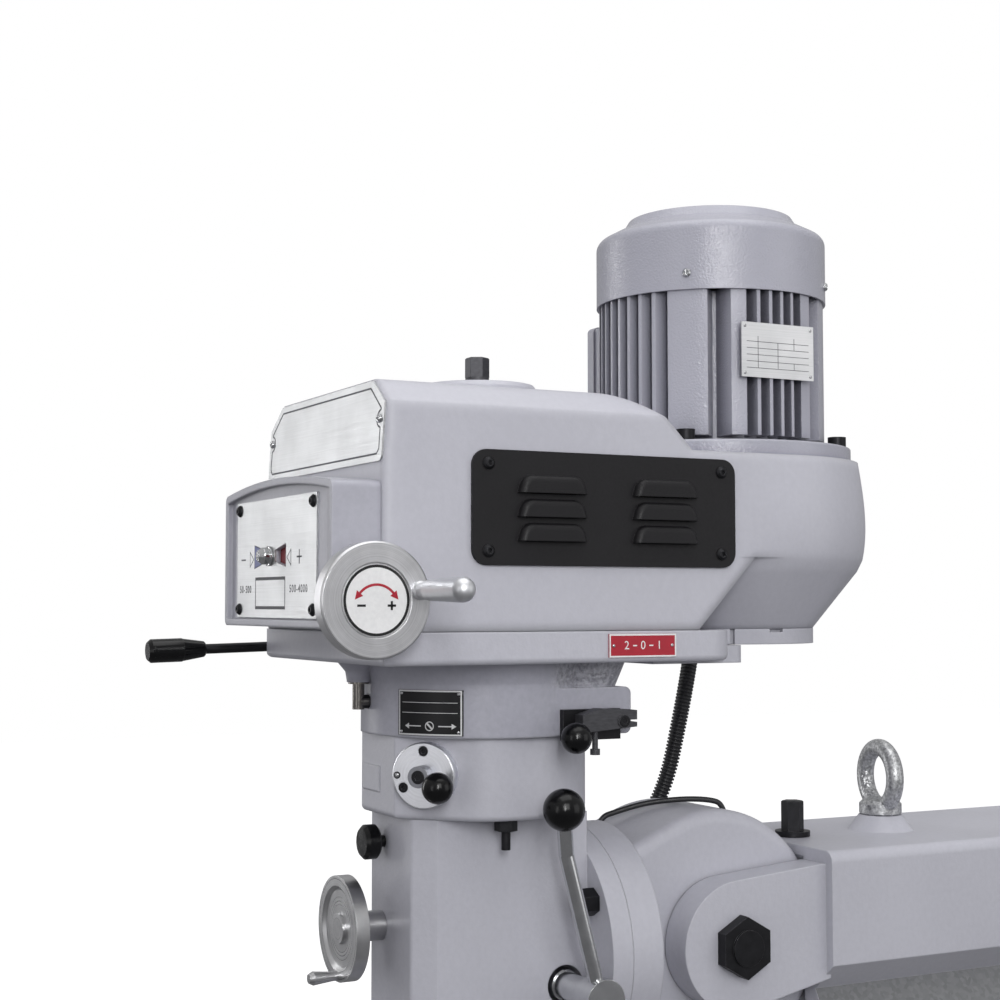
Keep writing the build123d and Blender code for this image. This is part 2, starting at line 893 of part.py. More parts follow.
def belt_housing():
    low, high = hub_bearing_levels()
    body = housing_shell(0) - housing_shell(housing_wall)
    inner_half = housing_half - housing_wall
    body -= block(-inner_half, inner_half, -housing_front + housing_wall, crease_low - housing_wall,
                  base_top, base_top + housing_wall + 1)
    body -= seam_groove()
    body -= cyl(pulley_hole_radius, base_top, base_top + housing_wall + 1, 0, motor_offset)
    body -= cyl(motor_hole_radius, seat - housing_wall - 1, seat, 0, motor_offset)
    body += cyl(hub_bearing_radius + 9, high - 4, housing_top - 1)
    body -= cyl(hub_bearing_radius, high, high + hub_bearing_width)
    body -= cyl(hub_radius + 3, high - 4, housing_top)
    for side in (-1, 1):
        x0, x1 = sorted((side * (inner_half - 1), side * (housing_half + 1)))
        window = block(x0, x1, vent_front + 26, vent_front + vent_length - 26, vent_low() + 12,
                       vent_low() + vent_height - 12)
        body -= window
        for y, z in vent_screw_points():
            body -= rod(2.0, (side * inner_half, y, z), (side * housing_half, y, z))
    for x, y in motor_bolt_points():
        body -= cyl(motor_bolt_radius + press, seat - housing_wall - 1, seat, x, y)
    body -= block(-link_half, link_half, -housing_front - 1, -housing_front + housing_wall + 1,
                  box_bottom + link_rise, box_bottom + link_rise + link_height)
    return body


def seam_groove():
    """Narrow joint line left round the foot of the belt housing."""
    outer = block(-housing_half - 1, housing_half + 1, -housing_front - 1, crease_low,
                  base_top, base_top + seam_height)
    inner_half = housing_half - seam_depth
    return outer - block(-inner_half, inner_half, -housing_front + seam_depth, crease_low,
                         base_top, base_top + seam_height)


def cover_notch(width, depth, angle):
    """Cut in the rim of the pulley cover, down from its top, at an angle about the motor."""
    cut = block(0, width, -pulley_cover_radius - 1, -pulley_cover_radius + 5, base_top - depth, base_top + 1)
    return Pos(0, motor_offset, 0) * Rot(0, 0, angle) * cut


def pulley_cover():
    body = cyl(pulley_cover_radius, base_top - pulley_cover_height, base_top, 0, motor_offset)
    body -= cyl(pulley_cover_radius - 8, base_top - pulley_cover_height + 4, base_top, 0, motor_offset)
    body -= cover_notch(pulley_slit_width, pulley_cover_height + 1, pulley_slit_angle)
    return body - cover_notch(pulley_slot_width, pulley_slot_depth, pulley_slot_angle)


def bearing_cap():
    body = turned([(cap_bore, housing_top), (cap_radius, housing_top), (cap_radius, housing_top + cap_height - 4),
                   (cap_radius - 3, housing_top + cap_height), (cap_bore + 10, housing_top + cap_height),
                   (cap_bore + 8, housing_top + cap_height - 3), (cap_bore, housing_top + cap_height - 3)])
    return body


# Vent covers

def vent_low():
    return base_top + vent_rise


def vent_screw_points():
    ends = (vent_front + vent_screw_inset, vent_front + vent_length - vent_screw_inset)
    levels = (vent_low() + vent_screw_inset - 3, vent_low() + vent_height - vent_screw_inset + 3)
    return [(y, z) for y in ends for z in levels]


def louvre_hood():
    """One pressed hood: longest at its open foot, with slanted ends and soft edges."""
    foot = louvre_length / 2
    crown = foot - louvre_slant
    outline = Polygon((-foot, 0), (foot, 0), (crown, louvre_height), (-crown, louvre_height), align=None)
    outline = fillet(outline.vertices().group_by(Axis.Y)[-1], louvre_corner)
    hood = extrude(Plane.YZ * outline, louvre_proud)
    rim = hood.faces().sort_by(Axis.X)[-1].edges()
    foot_edge = rim.sort_by(Axis.Z)[0]
    return fillet([edge for edge in rim if edge != foot_edge], louvre_proud - 1.5)


def vent_cover():
    """Right-hand cover with two columns of three pressed louvres."""
    face = housing_half + vent_thick
    body = block(housing_half, face, vent_front, vent_front + vent_length, vent_low(), vent_low() + vent_height)
    body = fillet(body.edges().filter_by(Axis.X), vent_corner)
    middle_y = vent_front + vent_length / 2
    middle_z = vent_low() + vent_height / 2
    hood = louvre_hood()
    hollow_half = louvre_length / 2 - louvre_slant - 2 * louvre_skin
    hollow = block(-vent_thick - 1, louvre_proud - louvre_skin, -hollow_half, hollow_half, -0.1,
                   louvre_height - louvre_proud)
    for column in (-1, 1):
        for row in (-1, 0, 1):
            place = Pos(face, middle_y + column * louvre_spread / 2, middle_z + row * louvre_pitch - louvre_height / 2)
            body = body + place * hood - place * hollow
    for y, z in vent_screw_points():
        body -= rod(2.0, (housing_half, y, z), (face, y, z))
    return body


def vent_covers():
    right = vent_cover()
    return group([right, mirror(right, about=Plane.YZ)])


# Speed box, plates and handwheel

def box_outline(margin):
    half = box_half - margin
    low = box_bottom + margin
    side_top = box_bottom + box_side_height - margin
    crown = side_top + box_arch
    line = Polyline((half, side_top), (half, low), (-half, low), (-half, side_top))
    arch = ThreePointArc((-half, side_top), (0, crown), (half, side_top))
    return Plane.XZ * make_face([line, arch])


def speed_box():
    body = Pos(0, -housing_front, 0) * extrude(box_outline(0), box_reach)
    side_edges = body.edges().filter_by(Axis.Y)
    body = fillet(side_edges, 6)
    recess = Pos(0, recess_floor, 0) * extrude(box_outline(box_rim), box_recess + 1)
    hollow = Pos(0, -housing_front, 0) * extrude(box_outline(box_wall), box_reach - box_recess - box_floor)
    body = body - recess - hollow
    window = Pos(0, recess_floor + box_floor, 0) * extrude(dial_window(), box_floor + 1)
    body -= window
    body -= rod(dial_shaft_radius + fit, (dial_x, recess_floor + box_floor, dial_z), (dial_x, recess_floor, dial_z))
    body -= rod(wheel_shaft_radius + fit, (box_half - box_wall - 1, wheel_y, wheel_z), (box_half, wheel_y, wheel_z))
    for x, z in speed_screw_points():
        body -= rod(2.0, (x, recess_floor + box_floor, z), (x, recess_floor, z))
    return body


def dial_window():
    """Bow-tie opening on both sides of the dial shaft."""
    faces = []
    for side in (-1, 1):
        faces.append(Polygon((dial_x + side * window_inner, dial_z - window_inner_half),
                             (dial_x + side * window_outer, dial_z - window_outer_half),
                             (dial_x + side * window_outer, dial_z + window_outer_half),
                             (dial_x + side * window_inner, dial_z + window_inner_half), align=None))
    return Plane.XZ * (faces[0] + faces[1])


def speed_screw_points():
    low = box_bottom + speed_plate_rise
    xs = (speed_plate_left + 7, speed_plate_left + speed_plate_width - 7)
    zs = (low + 7, low + speed_plate_height - 7)
    return [(x, z) for x in xs for z in zs]


def speed_plate():
    low = box_bottom + speed_plate_rise
    body = block(speed_plate_left, speed_plate_left + speed_plate_width, recess_floor - plate_thick, recess_floor,
                 low, low + speed_plate_height)
    body -= Pos(0, recess_floor + 1, 0) * extrude(dial_window(), plate_thick + 2)
    body -= rod(dial_shaft_radius + fit, (dial_x, recess_floor, dial_z), (dial_x, recess_floor - plate_thick, dial_z))
    for x, z in speed_screw_points():
        body -= rod(2.0, (x, recess_floor, z), (x, recess_floor - plate_thick, z))
    return body


def speed_dial():
    """Two-colour dial disc on its shaft, with the bright nut on the front end."""
    back = recess_floor + box_floor + gap
    disc = rod(dial_radius, (dial_x, back, dial_z), (dial_x, back + dial_thick, dial_z))
    nut_back = recess_floor - plate_thick - gap
    shaft = rod(dial_shaft_radius, (dial_x, nut_back, dial_z), (dial_x, back + 20, dial_z))
    nut = turned([(0, 0), (dial_nut_radius, 0), (dial_nut_radius, 2), (dial_nut_radius - 1.2, 2.2),
                  (dial_nut_radius - 1.2, dial_nut_length * 0.6), (dial_nut_radius * 0.5, dial_nut_length),
                  (0, dial_nut_length)], (dial_x, nut_back, dial_z), (0, -1, 0))
    return disc + shaft + nut


def front_plane():
    """Leaning front face of the belt housing, from the top of the speed box."""
    lean = math.radians(lean_angle)
    return Plane(origin=(0, -housing_front, lean_start), x_dir=(1, 0, 0), z_dir=(0, -math.cos(lean), math.sin(lean)))


def front_screw_points():
    top = (housing_top - lean_start) / math.cos(math.radians(lean_angle))
    return [(side * (housing_half - front_screw_inset), (top + front_plate_foot) / 2) for side in (-1, 1)]


def front_plate():
    top = (housing_top - lean_start) / math.cos(math.radians(lean_angle)) - front_plate_margin
    low = front_plate_foot
    half = housing_half - front_plate_side
    shape = Polygon((-half, low), (half, low), (half, top - corner_drop), (half - corner_inset, top),
                    (corner_inset - half, top), (-half, top - corner_drop), align=None)
    shape = fillet(shape.vertices().group_by(Axis.Y)[0], front_plate_corner)
    body = extrude(shape, plate_thick)
    for x, y in front_screw_points():
        body -= cyl(1.6, 0, plate_thick, x, y)
    return front_plane() * body


def range_plate():
    low = base_low + range_plate_rise
    return block(housing_half, housing_half + plate_thick, range_plate_front, range_plate_front + range_plate_length,
                 low, low + range_plate_height)


def feed_plate():
    low = block_top + feed_plate_rise
    ring = cyl(gear_housing_radius + plate_thick, low, low + feed_plate_height)
    ring -= cyl(gear_housing_radius + fit, low, low + feed_plate_height)
    wedge = block(0, gear_housing_radius + 10, -feed_plate_width / 2, feed_plate_width / 2, low, low + feed_plate_height)
    return ring & (Rot(0, 0, feed_plate_angle) * wedge)


def rating_plate():
    low = frame_bottom + rating_plate_rise
    return block(frame_radius, frame_radius + plate_thick, motor_offset - rating_plate_width / 2,
                 motor_offset + rating_plate_width / 2, low, low + rating_plate_height)


def wheel_axis_point(x):
    return (x, wheel_y, wheel_z)


def crank_point(x):
    turn = math.radians(crank_angle)
    return (x, wheel_y + crank_radius * math.cos(turn), wheel_z + crank_radius * math.sin(turn))


def speed_handwheel():
    """Dished aluminium wheel with its shaft; heights run outwards from the speed box."""
    back = wheel_face - wheel_thick
    hub_back = box_half + gap
    profile = [(0, hub_back), (14, hub_back), (14, back), (wheel_radius - 3, back), (wheel_radius, back + 3),
               (wheel_radius, wheel_face - 1.5), (wheel_radius - 1.5, wheel_face), (wheel_recess_radius + 0.8, wheel_face),
               (wheel_recess_radius, wheel_face - 0.8), (wheel_recess_radius, wheel_face - wheel_recess),
               (0, wheel_face - wheel_recess)]
    body = turned(profile, (0, wheel_y, wheel_z), (1, 0, 0))
    body += rod(wheel_shaft_radius, wheel_axis_point(box_half - 30), wheel_axis_point(hub_back))
    body -= rod(4.0 + press, crank_point(wheel_face - 8), crank_point(wheel_face + 1))
    return body


def handwheel_disc():
    start = wheel_face - wheel_recess
    return rod(wheel_disc_radius, wheel_axis_point(start), wheel_axis_point(start + wheel_disc_thick))


def handwheel_handle():
    start = wheel_face
    dome = crank_length - crank_end_radius
    body = turned([(0, 0), (crank_root_radius + 1.2, 0), (crank_root_radius + 1.2, 3), (crank_root_radius, 4.5),
                   (crank_root_radius, 7), (crank_shoulder_radius, 20), (crank_end_radius, dome), (0, dome)], crank_point(start), (1, 0, 0))
    body += Pos(*crank_point(start + dome)) * Sphere(crank_end_radius)
    return body + rod(4.0, crank_point(start - 8), crank_point(start))


# Motor

def motor_bolt_points():
    reach = motor_bolt_circle * math.cos(math.radians(45))
    return [(sx * reach, motor_offset + sy * reach) for sx in (-1, 1) for sy in (-1, 1)]


def motor_flange():
    low, high = motor_bearing_levels()
    body = cyl(motor_flange_radius, seat, frame_bottom, 0, motor_offset)
    body += cyl(motor_hole_radius - gap, seat - motor_spigot, seat, 0, motor_offset)
    body -= cyl(motor_bearing_radius, low, frame_bottom, 0, motor_offset)
    body -= cyl(motor_shaft_radius + 3, seat - motor_spigot, frame_bottom, 0, motor_offset)
    for x, y in motor_bolt_points():
        body -= cyl(motor_bolt_radius + press, seat, frame_bottom, x, y)
    return fillet(body.edges().filter_by(GeomType.CIRCLE).filter_by(
        lambda e: abs(e.radius - motor_flange_radius) < 0.1).group_by(Axis.Z)[-1], 2)


def fin_row(offsets, thick):
    """Parallel fins on the +X side of the frame, in plan."""
    reach = frame_radius + 4
    return [Pos(reach / 2 + 20, off) * Rectangle(reach - 40, thick) for off in offsets]


def frame_plan():
    """Finned section of the motor frame, clipped to its outer circle."""
    thin = [i * fin_pitch for i in (-4.5, -3.5, -2.5, -1.5, -0.5, 0.5, 1.5, 2.5, 3.5, 4.5)]
    plan = Circle(frame_core)
    for angle in (-90, 90):
        for face in fin_row(thin, fin_thick):
            plan += Rot(0, 0, angle) * face
    side_offsets = [side * fin for fin in side_fins for side in (-1, 1)]
    for face in fin_row((-rib_offset, rib_offset), rib_thick) + fin_row(side_offsets, fin_thick):
        plan += face
    for angle in (45, 135, 225, 315):
        plan += Rot(0, 0, angle) * (Pos(frame_core, 0) * Rectangle(lug_depth, lug_width))
    plan += Pos(-terminal_pad / 2, 0) * Rectangle(terminal_pad, 2 * terminal_half)
    return (plan & Circle(frame_radius)) - Circle(frame_bore)


def motor_frame():
    low, high = motor_bearing_levels()
    body = Pos(0, motor_offset, frame_bottom) * extrude(frame_plan(), frame_length)
    foot = cyl(frame_radius + 1, frame_bottom, frame_bottom + fin_foot, 0, motor_offset)
    body -= foot - cyl(frame_core, frame_bottom, frame_bottom + fin_foot, 0, motor_offset)
    body += cyl(frame_bore + 1, frame_top - end_wall, frame_top, 0, motor_offset)
    body -= cyl(motor_bearing_radius, frame_top - end_wall, high + motor_bearing_width, 0, motor_offset)
    body -= cyl(motor_shaft_radius + 3, frame_top - end_wall, frame_top, 0, motor_offset)
    return body


def stator():
    low = frame_bottom + stator_foot
    body = cyl(frame_bore - press, low, low + stator_length, 0, motor_offset)
    return body - cyl(stator_bore, low, low + stator_length, 0, motor_offset)


def motor_rotor():
    core_low = frame_bottom + stator_foot
    shaft_low = belt_level - belt_half_width - disc_boss_length - 20
    fan_seat = frame_top + fan_lift
    profile = [(0, shaft_low), (pulley_shaft_radius, shaft_low), (pulley_shaft_radius, seat - motor_spigot - 2),
               (motor_shaft_radius, seat - motor_spigot - 2), (motor_shaft_radius, core_low),
               (stator_bore - air_gap, core_low), (stator_bore - air_gap, core_low + stator_length),
               (motor_shaft_radius, core_low + stator_length), (motor_shaft_radius, fan_seat), (9, fan_seat),
               (9, fan_seat + fan_stub), (0, fan_seat + fan_stub)]
    return turned(profile, (0, motor_offset, 0))


def cooling_fan():
    low = frame_top + fan_lift + press
    body = cyl(26, low, low + fan_height) + cyl(fan_radius, low + 2, low + 5)
    blade = block(20, fan_radius, -1.4, 1.4, low + 4, low + fan_height - 4)
    body += [Rot(0, 0, i * 360 / fan_blades) * blade for i in range(fan_blades)]
    return Pos(0, motor_offset, 0) * (body - cyl(9 + fit, low, low + fan_height))


def cover_profile(skin):
    low = frame_top - cover_overlap
    shoulder = low + cover_side
    outline = Polygon((0, low), (cover_radius - skin, low), (cover_radius - skin, shoulder - skin),
                      (crown_radius - skin, shoulder + crown_rise - skin),
                      (crown_top_radius - skin, shoulder + crown_rise + crown_height - skin),
                      (0, shoulder + crown_rise + crown_height - skin), align=None)
    corner = outline.vertices().sort_by_distance((cover_radius, shoulder, 0))[0]
    return Plane.XZ * fillet(corner, cover_round - skin)


def fan_cover():
    body = revolve(cover_profile(0), Axis.Z) - revolve(cover_profile(cover_skin), Axis.Z)
    body = Pos(0, motor_offset, 0) * body
    for origin, way in cover_screw_places():
        body -= stood(cyl(2.0, -6, 1), origin, way)
    return body


def cover_screw_places():
    level = frame_top + cover_screw_rise
    places = []
    for angle in (45, 135, 225, 315):
        way = (math.cos(math.radians(angle)), math.sin(math.radians(angle)), 0)
        places.append(((cover_radius * way[0], motor_offset + cover_radius * way[1], level), way))
    return places


def terminal_box():
    """Junction box on the motor's left side: body, lid and the gland under it."""
    low = frame_bottom + terminal_rise
    near = -terminal_pad
    body = block(near - terminal_depth, near, motor_offset - terminal_half, motor_offset + terminal_half,
                 low, low + terminal_height)
    lid = block(near - terminal_depth - terminal_lid, near - terminal_depth, motor_offset - terminal_half - 2,
                motor_offset + terminal_half + 2, low - 2, low + terminal_height + 2)
    lid = fillet(lid.edges().filter_by(Axis.X), 6)
    lid = chamfer(lid.faces().sort_by(Axis.X)[0].edges(), 3)
    nut = stood(hexagon(gland_across, 0, gland_length), conduit_points[0], (0, 0, -1))
    nut -= rod(conduit_radius + gland_clear, conduit_points[0], tuple(conduit_start()))
    return group([body + lid, nut])


# Feed hub, range lever and the other levers

def feed_screw_points():
    angles = [math.radians(90 + 120 * i) for i in range(3)]
    return [(feed_screw_circle * math.cos(a), feed_screw_circle * math.sin(a)) for a in angles]


def feed_hub():
    body = cyl(feed_hub_radius, 0, feed_hub_thick) - cyl(feed_lever_rod + 2 + fit, 0, feed_hub_thick)
    body = chamfer(body.edges().filter_by(GeomType.CIRCLE).group_by(Axis.Z)[-1].sort_by(SortBy.RADIUS)[-1], 1)
    for x, y in feed_screw_points():
        body -= cyl(2.5, 0, feed_hub_thick, x, y) + cyl(4.3, feed_hub_thick - 4, feed_hub_thick, x, y)
    return feed_face() * body


def feed_lever():
    start = feed_hub_thick + gap
    boss = cyl(9, start, start + 12) + cyl(feed_lever_rod + 2, -20, start)
    arm = rod(feed_lever_rod, (0, 0, start + 7), (feed_lever_side, -feed_lever_down, start + 9))
    stem = rod(feed_lever_rod - 1, (feed_lever_side, -feed_lever_down, start + 9),
               (feed_lever_side, -feed_lever_down, feed_lever_out))
    return feed_face() * (boss + arm + stem + Pos(feed_lever_side, -feed_lever_down, start + 9) * Sphere(feed_lever_rod))


def feed_knob():
    centre = (feed_lever_side, -feed_lever_down, feed_lever_out + feed_ball_radius - 3)
    ball = Pos(*centre) * Sphere(feed_ball_radius)
    seat_hole = cyl(feed_ball_radius, 0, feed_lever_out, feed_lever_side, -feed_lever_down)
    return feed_face() * (ball - seat_hole)


def range_bracket():
    low = range_z() - range_arm_height / 2 - 5
    body = block(lobe_face, lobe_face + range_block_thick, range_block_front, range_block_front + range_block_length,
                 low, low + range_arm_height + 4)
    return body - rod(range_shaft_radius + fit, (lobe_face, range_pivot_y, range_z()),
                      (lobe_face + range_block_thick, range_pivot_y, range_z()))


def range_lever():
    inner = lobe_face + range_block_thick + gap
    outer = inner + range_arm_thick
    half = range_arm_height / 2
    side = Polygon((range_arm_front, range_z() - half + 2), (range_arm_back, range_z() - half + 6),
                   (range_arm_back, range_z() + half - 2), (range_arm_front + 18, range_z() + half),
                   (range_arm_front, range_z() + half - 5), align=None)
    body = Pos(inner, 0, 0) * extrude(Plane.YZ * side, range_arm_thick)
    slit = block(inner - 1, outer + 1, range_pivot_y, range_arm_back + 1, range_z() - 1, range_z() + 1)
    body = body - slit
    body += rod(range_shaft_radius, (lobe_x + 1, range_pivot_y, range_z()), (outer + 1, range_pivot_y, range_z()))
    body += rod(3.5, (outer - 5, range_arm_front + 5, range_z() - 4), range_stem_end())
    screw_x = inner + range_arm_thick / 2
    body += cyl(2.5, range_z() - half - 12, range_z(), screw_x, range_arm_front + range_screw_set)
    body += cyl(4.2, range_z() - half - 17, range_z() - half - 12, screw_x, range_arm_front + range_screw_set)
    return body


def range_ball_centre():
    return (lobe_face + 30, range_arm_front - 12, range_z() - 12)


def range_stem_end():
    outer = lobe_face + range_block_thick + gap + range_arm_thick
    start = Vector(outer - 5, range_arm_front + 5, range_z() - 4)
    centre = Vector(*range_ball_centre())
    way = (centre - start).normalized()
    end = centre - way * (range_ball_radius - 3)
    return (end.X, end.Y, end.Z)


def range_knob():
    centre = Vector(*range_ball_centre())
    end = Vector(*range_stem_end())
    ball = Pos(*range_ball_centre()) * Sphere(range_ball_radius)
    way = end - centre
    flat = stood(cyl(range_ball_radius, 0, range_ball_radius), range_stem_end(), (way.X, way.Y, way.Z))
    return ball - flat


def handle_point(reach):
    turn = math.radians(handle_arm_angle)
    return (pinion_y - reach * math.sin(turn), pinion_z + reach * math.cos(turn))


def quill_handle():
    """Pinion, hub and arm of the coarse feed."""
    hub_start = head_half + gap
    pinion_half = rack_width / 2
    gear = toothed(pinion_radius, 2.5, pinion_teeth, -pinion_half, pinion_half)
    body = Plane(origin=(0, pinion_y, pinion_z), x_dir=(0, -1, 0), z_dir=(1, 0, 0)) * gear
    body += rod(pinion_radius - 3, (pinion_half, pinion_y, pinion_z), (hub_start, pinion_y, pinion_z))
    neck_end = head_half + handle_neck_length
    body += rod(handle_neck_radius, (hub_start, pinion_y, pinion_z), (neck_end, pinion_y, pinion_z))
    body += rod(handle_hub_radius, (neck_end, pinion_y, pinion_z), (handle_arm_x + 10, pinion_y, pinion_z))
    bend_y, bend_z = handle_point(handle_arm - 40)
    end_y, end_z = handle_point(handle_arm - handle_ball_radius + 3)
    start = (handle_arm_x, pinion_y, pinion_z)
    bend = (handle_arm_x, bend_y, bend_z)
    tip = (handle_ball_x - 6, end_y, end_z)
    body += rod(handle_arm_radius, start, bend)
    body += rod(handle_arm_radius, bend, tip)
    return body + Pos(*bend) * Sphere(handle_arm_radius)


def quill_handle_knob():
    centre_y, centre_z = handle_point(handle_arm)
    bend_y, bend_z = handle_point(handle_arm - 40)
    end_y, end_z = handle_point(handle_arm - handle_ball_radius + 3)
    bend = Vector(handle_arm_x, bend_y, bend_z)
    tip = Vector(handle_ball_x - 6, end_y, end_z)
    way = tip - bend
    ball = Pos(handle_ball_x, centre_y, centre_z) * Sphere(handle_ball_radius)
    shank = stood(cyl(handle_arm_radius + press, -handle_ball_radius * 2, 0), (tip.X, tip.Y, tip.Z),
                  (way.X, way.Y, way.Z))
    return ball - shank


def fine_feed_wheel():
    """Fine feed handwheel on its shaft at the front of the head."""
    z = fine_wheel_z()
    front = fine_wheel_stand + fine_wheel_thick
    wheel = turned([(0, gap), (13, gap), (13, fine_wheel_stand + 3), (fine_wheel_radius - 12, fine_wheel_stand + 3),
                    (fine_wheel_radius - 9, fine_wheel_stand), (fine_wheel_radius, fine_wheel_stand),
                    (fine_wheel_radius, front), (fine_wheel_radius - 9, front), (fine_wheel_radius - 12, front - 3),
                    (13, front - 3), (13, front), (0, front)], (fine_wheel_x, -head_front, z), (0, -1, 0))
    shaft = rod(fine_shaft_radius, (fine_wheel_x, -head_front - 1, z), (fine_wheel_x, -head_front + 18, z))
    grip = turned([(0, 0), (4, 0), (4, 4), (6, 22), (4, 26), (0, 26)],
                  (fine_wheel_x, -head_front - front, z - fine_wheel_radius + 5), (0, -1, 0))
    return wheel + shaft + grip


def reverse_knob():
    body = turned([(0, knob_stand), (knob_radius - 2, knob_stand), (knob_radius, knob_stand + 2),
                   (knob_radius, knob_stand + knob_length - 3), (knob_radius - 3, knob_stand + knob_length),
                   (0, knob_stand + knob_length)], (knob_x, -head_front, knob_z()), (0, -1, 0))
    return body + rod(knob_shaft_radius, (knob_x, -head_front - knob_stand, knob_z()),
                      (knob_x, -head_front + 18, knob_z()))


def quill_lock_lever():
    start = head_half + gap
    hub = rod(lock_hub_radius, (start, lock_y, lock_z()), (start + lock_hub_length, lock_y, lock_z()))
    hub += rod(lock_shaft_radius, (head_half - 12, lock_y, lock_z()), (start, lock_y, lock_z()))
    arm_x = start + lock_hub_length / 2
    tip = (arm_x, lock_y - lock_arm * 0.8, lock_z() - lock_arm * 0.6)
    hub += rod(4.5, (arm_x, lock_y, lock_z()), tip)
    return hub + Pos(*tip) * Sphere(8.5)


def brake_rod_ends():
    """The lever's rod runs forward along the left flank, from its pivot to its grip."""
    x = -housing_half - brake_stand
    start = (x, -housing_front + brake_pivot_inset, base_low + brake_rise)
    fall = math.tan(math.radians(brake_slope))
    end_y = -housing_front - brake_rod_reach
    end = (x, end_y, base_low + brake_rise - fall * (start[1] - end_y))
    return start, end


def brake_lever():
    start, end = brake_rod_ends()
    near = (-housing_half - gap, start[1], start[2])
    far = (-housing_half - 2 * brake_stand + gap, start[1], start[2])
    shaft = rod(brake_shaft_radius, near, (-housing_half + brake_shaft_depth, start[1], start[2]))
    return rod(brake_hub_radius, near, far) + shaft + rod(brake_rod_radius, start, end)


def brake_grip():
    start, end = brake_rod_ends()
    way = (Vector(*end) - Vector(*start)).normalized()
    shoulder = brake_grip_length * 0.4
    grip = turned([(0, 0), (brake_grip_neck - 1, 0), (brake_grip_neck, 1), (brake_grip_radius - 0.4, shoulder),
                   (brake_grip_radius, shoulder + 0.5), (brake_grip_radius, brake_grip_length - 3),
                   (brake_grip_radius - 2.5, brake_grip_length), (0, brake_grip_length)], end, (way.X, way.Y, way.Z))
    return grip


def oil_leg_z():
    return gear_top - oil_drop


def oil_leg_end():
    """Where the leg of the oil elbow ends inside the wall of the gear housing."""
    wall = -math.sqrt(gear_housing_radius ** 2 - oil_boss_x ** 2)
    return wall + oil_leg_depth


def oil_elbow():
    """Oil cup: a pipe down from its boss under a thin lid, with a short leg into the gear housing."""
    top = gear_top - 4
    lid_top = gear_top - gear_flare_height
    body = cyl(oil_pipe_radius, oil_leg_z() - oil_foot, top, oil_boss_x, oil_boss_y)
    body += cyl(oil_lid_radius, lid_top - oil_lid_thick, lid_top, oil_boss_x, oil_boss_y)
    leg = rod(oil_leg_radius, (oil_boss_x, oil_boss_y, oil_leg_z()), (oil_boss_x, oil_leg_end(), oil_leg_z()))
    return body + leg


# Screws

def black_screws():
    """Black oxide screws: speed plate, vent covers, motor flange, feed hub and the block's stud."""
    screws = []
    for x, z in speed_screw_points():
        screws.append(stood(button_screw(5.2, 1.9, 5), (x, recess_floor - plate_thick, z), (0, -1, 0)))
    for side in (-1, 1):
        for y, z in vent_screw_points():
            screws.append(stood(button_screw(5.2, 1.9, 9), (side * (housing_half + vent_thick), y, z), (side, 0, 0)))
    bolt = socket_screw(motor_bolt_head, motor_bolt_head_height, motor_bolt_radius, motor_flange_thick + housing_wall)
    for x, y in motor_bolt_points():
        screws.append(Pos(x, y, frame_bottom) * bolt)
    for x, y in feed_screw_points():
        screws.append(feed_face() * Pos(x, y, feed_hub_thick - 4) * socket_screw(4.1, 4, 2.4, 12))
    screws.append(cyl(3.9, lower_top - 26, lower_top + 12, hang_x, hang_y)
                  + hexagon(17, lower_top - 10, lower_top, hang_x, hang_y))
    return group(screws)


def plate_screws():
    """Bright pan-head screws of the front plate and the fan cover."""
    screws = []
    for x, y in front_screw_points():
        screws.append(front_plane() * Pos(x, y, plate_thick) * pan_screw(3.6, 1.5, plate_thick))
    for origin, way in cover_screw_places():
        screws.append(stood(pan_screw(4.0, 1.9, 3), origin, way))
    return group(screws)


# Ram adapter and ram

def nod_axis_rod(radius, half):
    return rod(radius, (-half, nod_offset, tilt), (half, nod_offset, tilt))


def ram_adapter():
    back = flange_face + adapter_flange
    knuckle = Pos(nod_offset, tilt) * Circle(knuckle_radius)
    neck = Pos(back - 6, tilt) * Rectangle(8, 2 * neck_half_height)
    side = make_hull(knuckle.edges() + neck.edges())
    body = extrude(Plane.YZ * side, knuckle_half, both=True)
    body = fillet(body.faces().filter_by(Axis.X).edges(), knuckle_round)
    body += rod(flange_radius, (0, flange_face, tilt), (0, back, tilt))
    body -= rod(spigot_radius + gap, (0, flange_face, tilt), (0, head_face + spigot_length + 2, tilt))
    neck_end = flange_face + tee_neck_depth
    mouth = rod(clamp_circle + tee_neck_half, (0, flange_face, tilt), (0, neck_end, tilt))
    mouth -= rod(clamp_circle - tee_neck_half, (0, flange_face, tilt), (0, neck_end, tilt))
    slot = rod(clamp_circle + tee_half_width, (0, neck_end, tilt), (0, neck_end + tee_depth, tilt))
    slot -= rod(clamp_circle - tee_half_width, (0, neck_end, tilt), (0, neck_end + tee_depth, tilt))
    body = body - mouth - slot
    body -= nod_axis_rod(pivot_radius + fit, knuckle_half)
    body -= worm_teeth()
    gland = adapter_gland_face()
    body += rod(gland_across / 2 + 3, (gland[0], gland[1], gland[2]), (-knuckle_half + 20, gland[1], gland[2]))
    for end, next_point in ((cable_points[0], cable_points[1]), (cable_points[-1], cable_points[-2])):
        body -= rod(cable_radius + gap, end, next_point)
    return body


def worm_teeth():
    """Gaps of the worm wheel cut across the back of the knuckle."""
    pitch_angle = math.degrees(worm_thread_pitch / knuckle_radius)
    tooth = block(-16, 16, knuckle_radius - 2.5, knuckle_radius + 1, -worm_thread_pitch * 0.25, worm_thread_pitch * 0.25)
    count = 26
    return [Pos(0, nod_offset, tilt) * Rot((i - count / 2) * pitch_angle, 0, 0) * tooth for i in range(count + 1)]


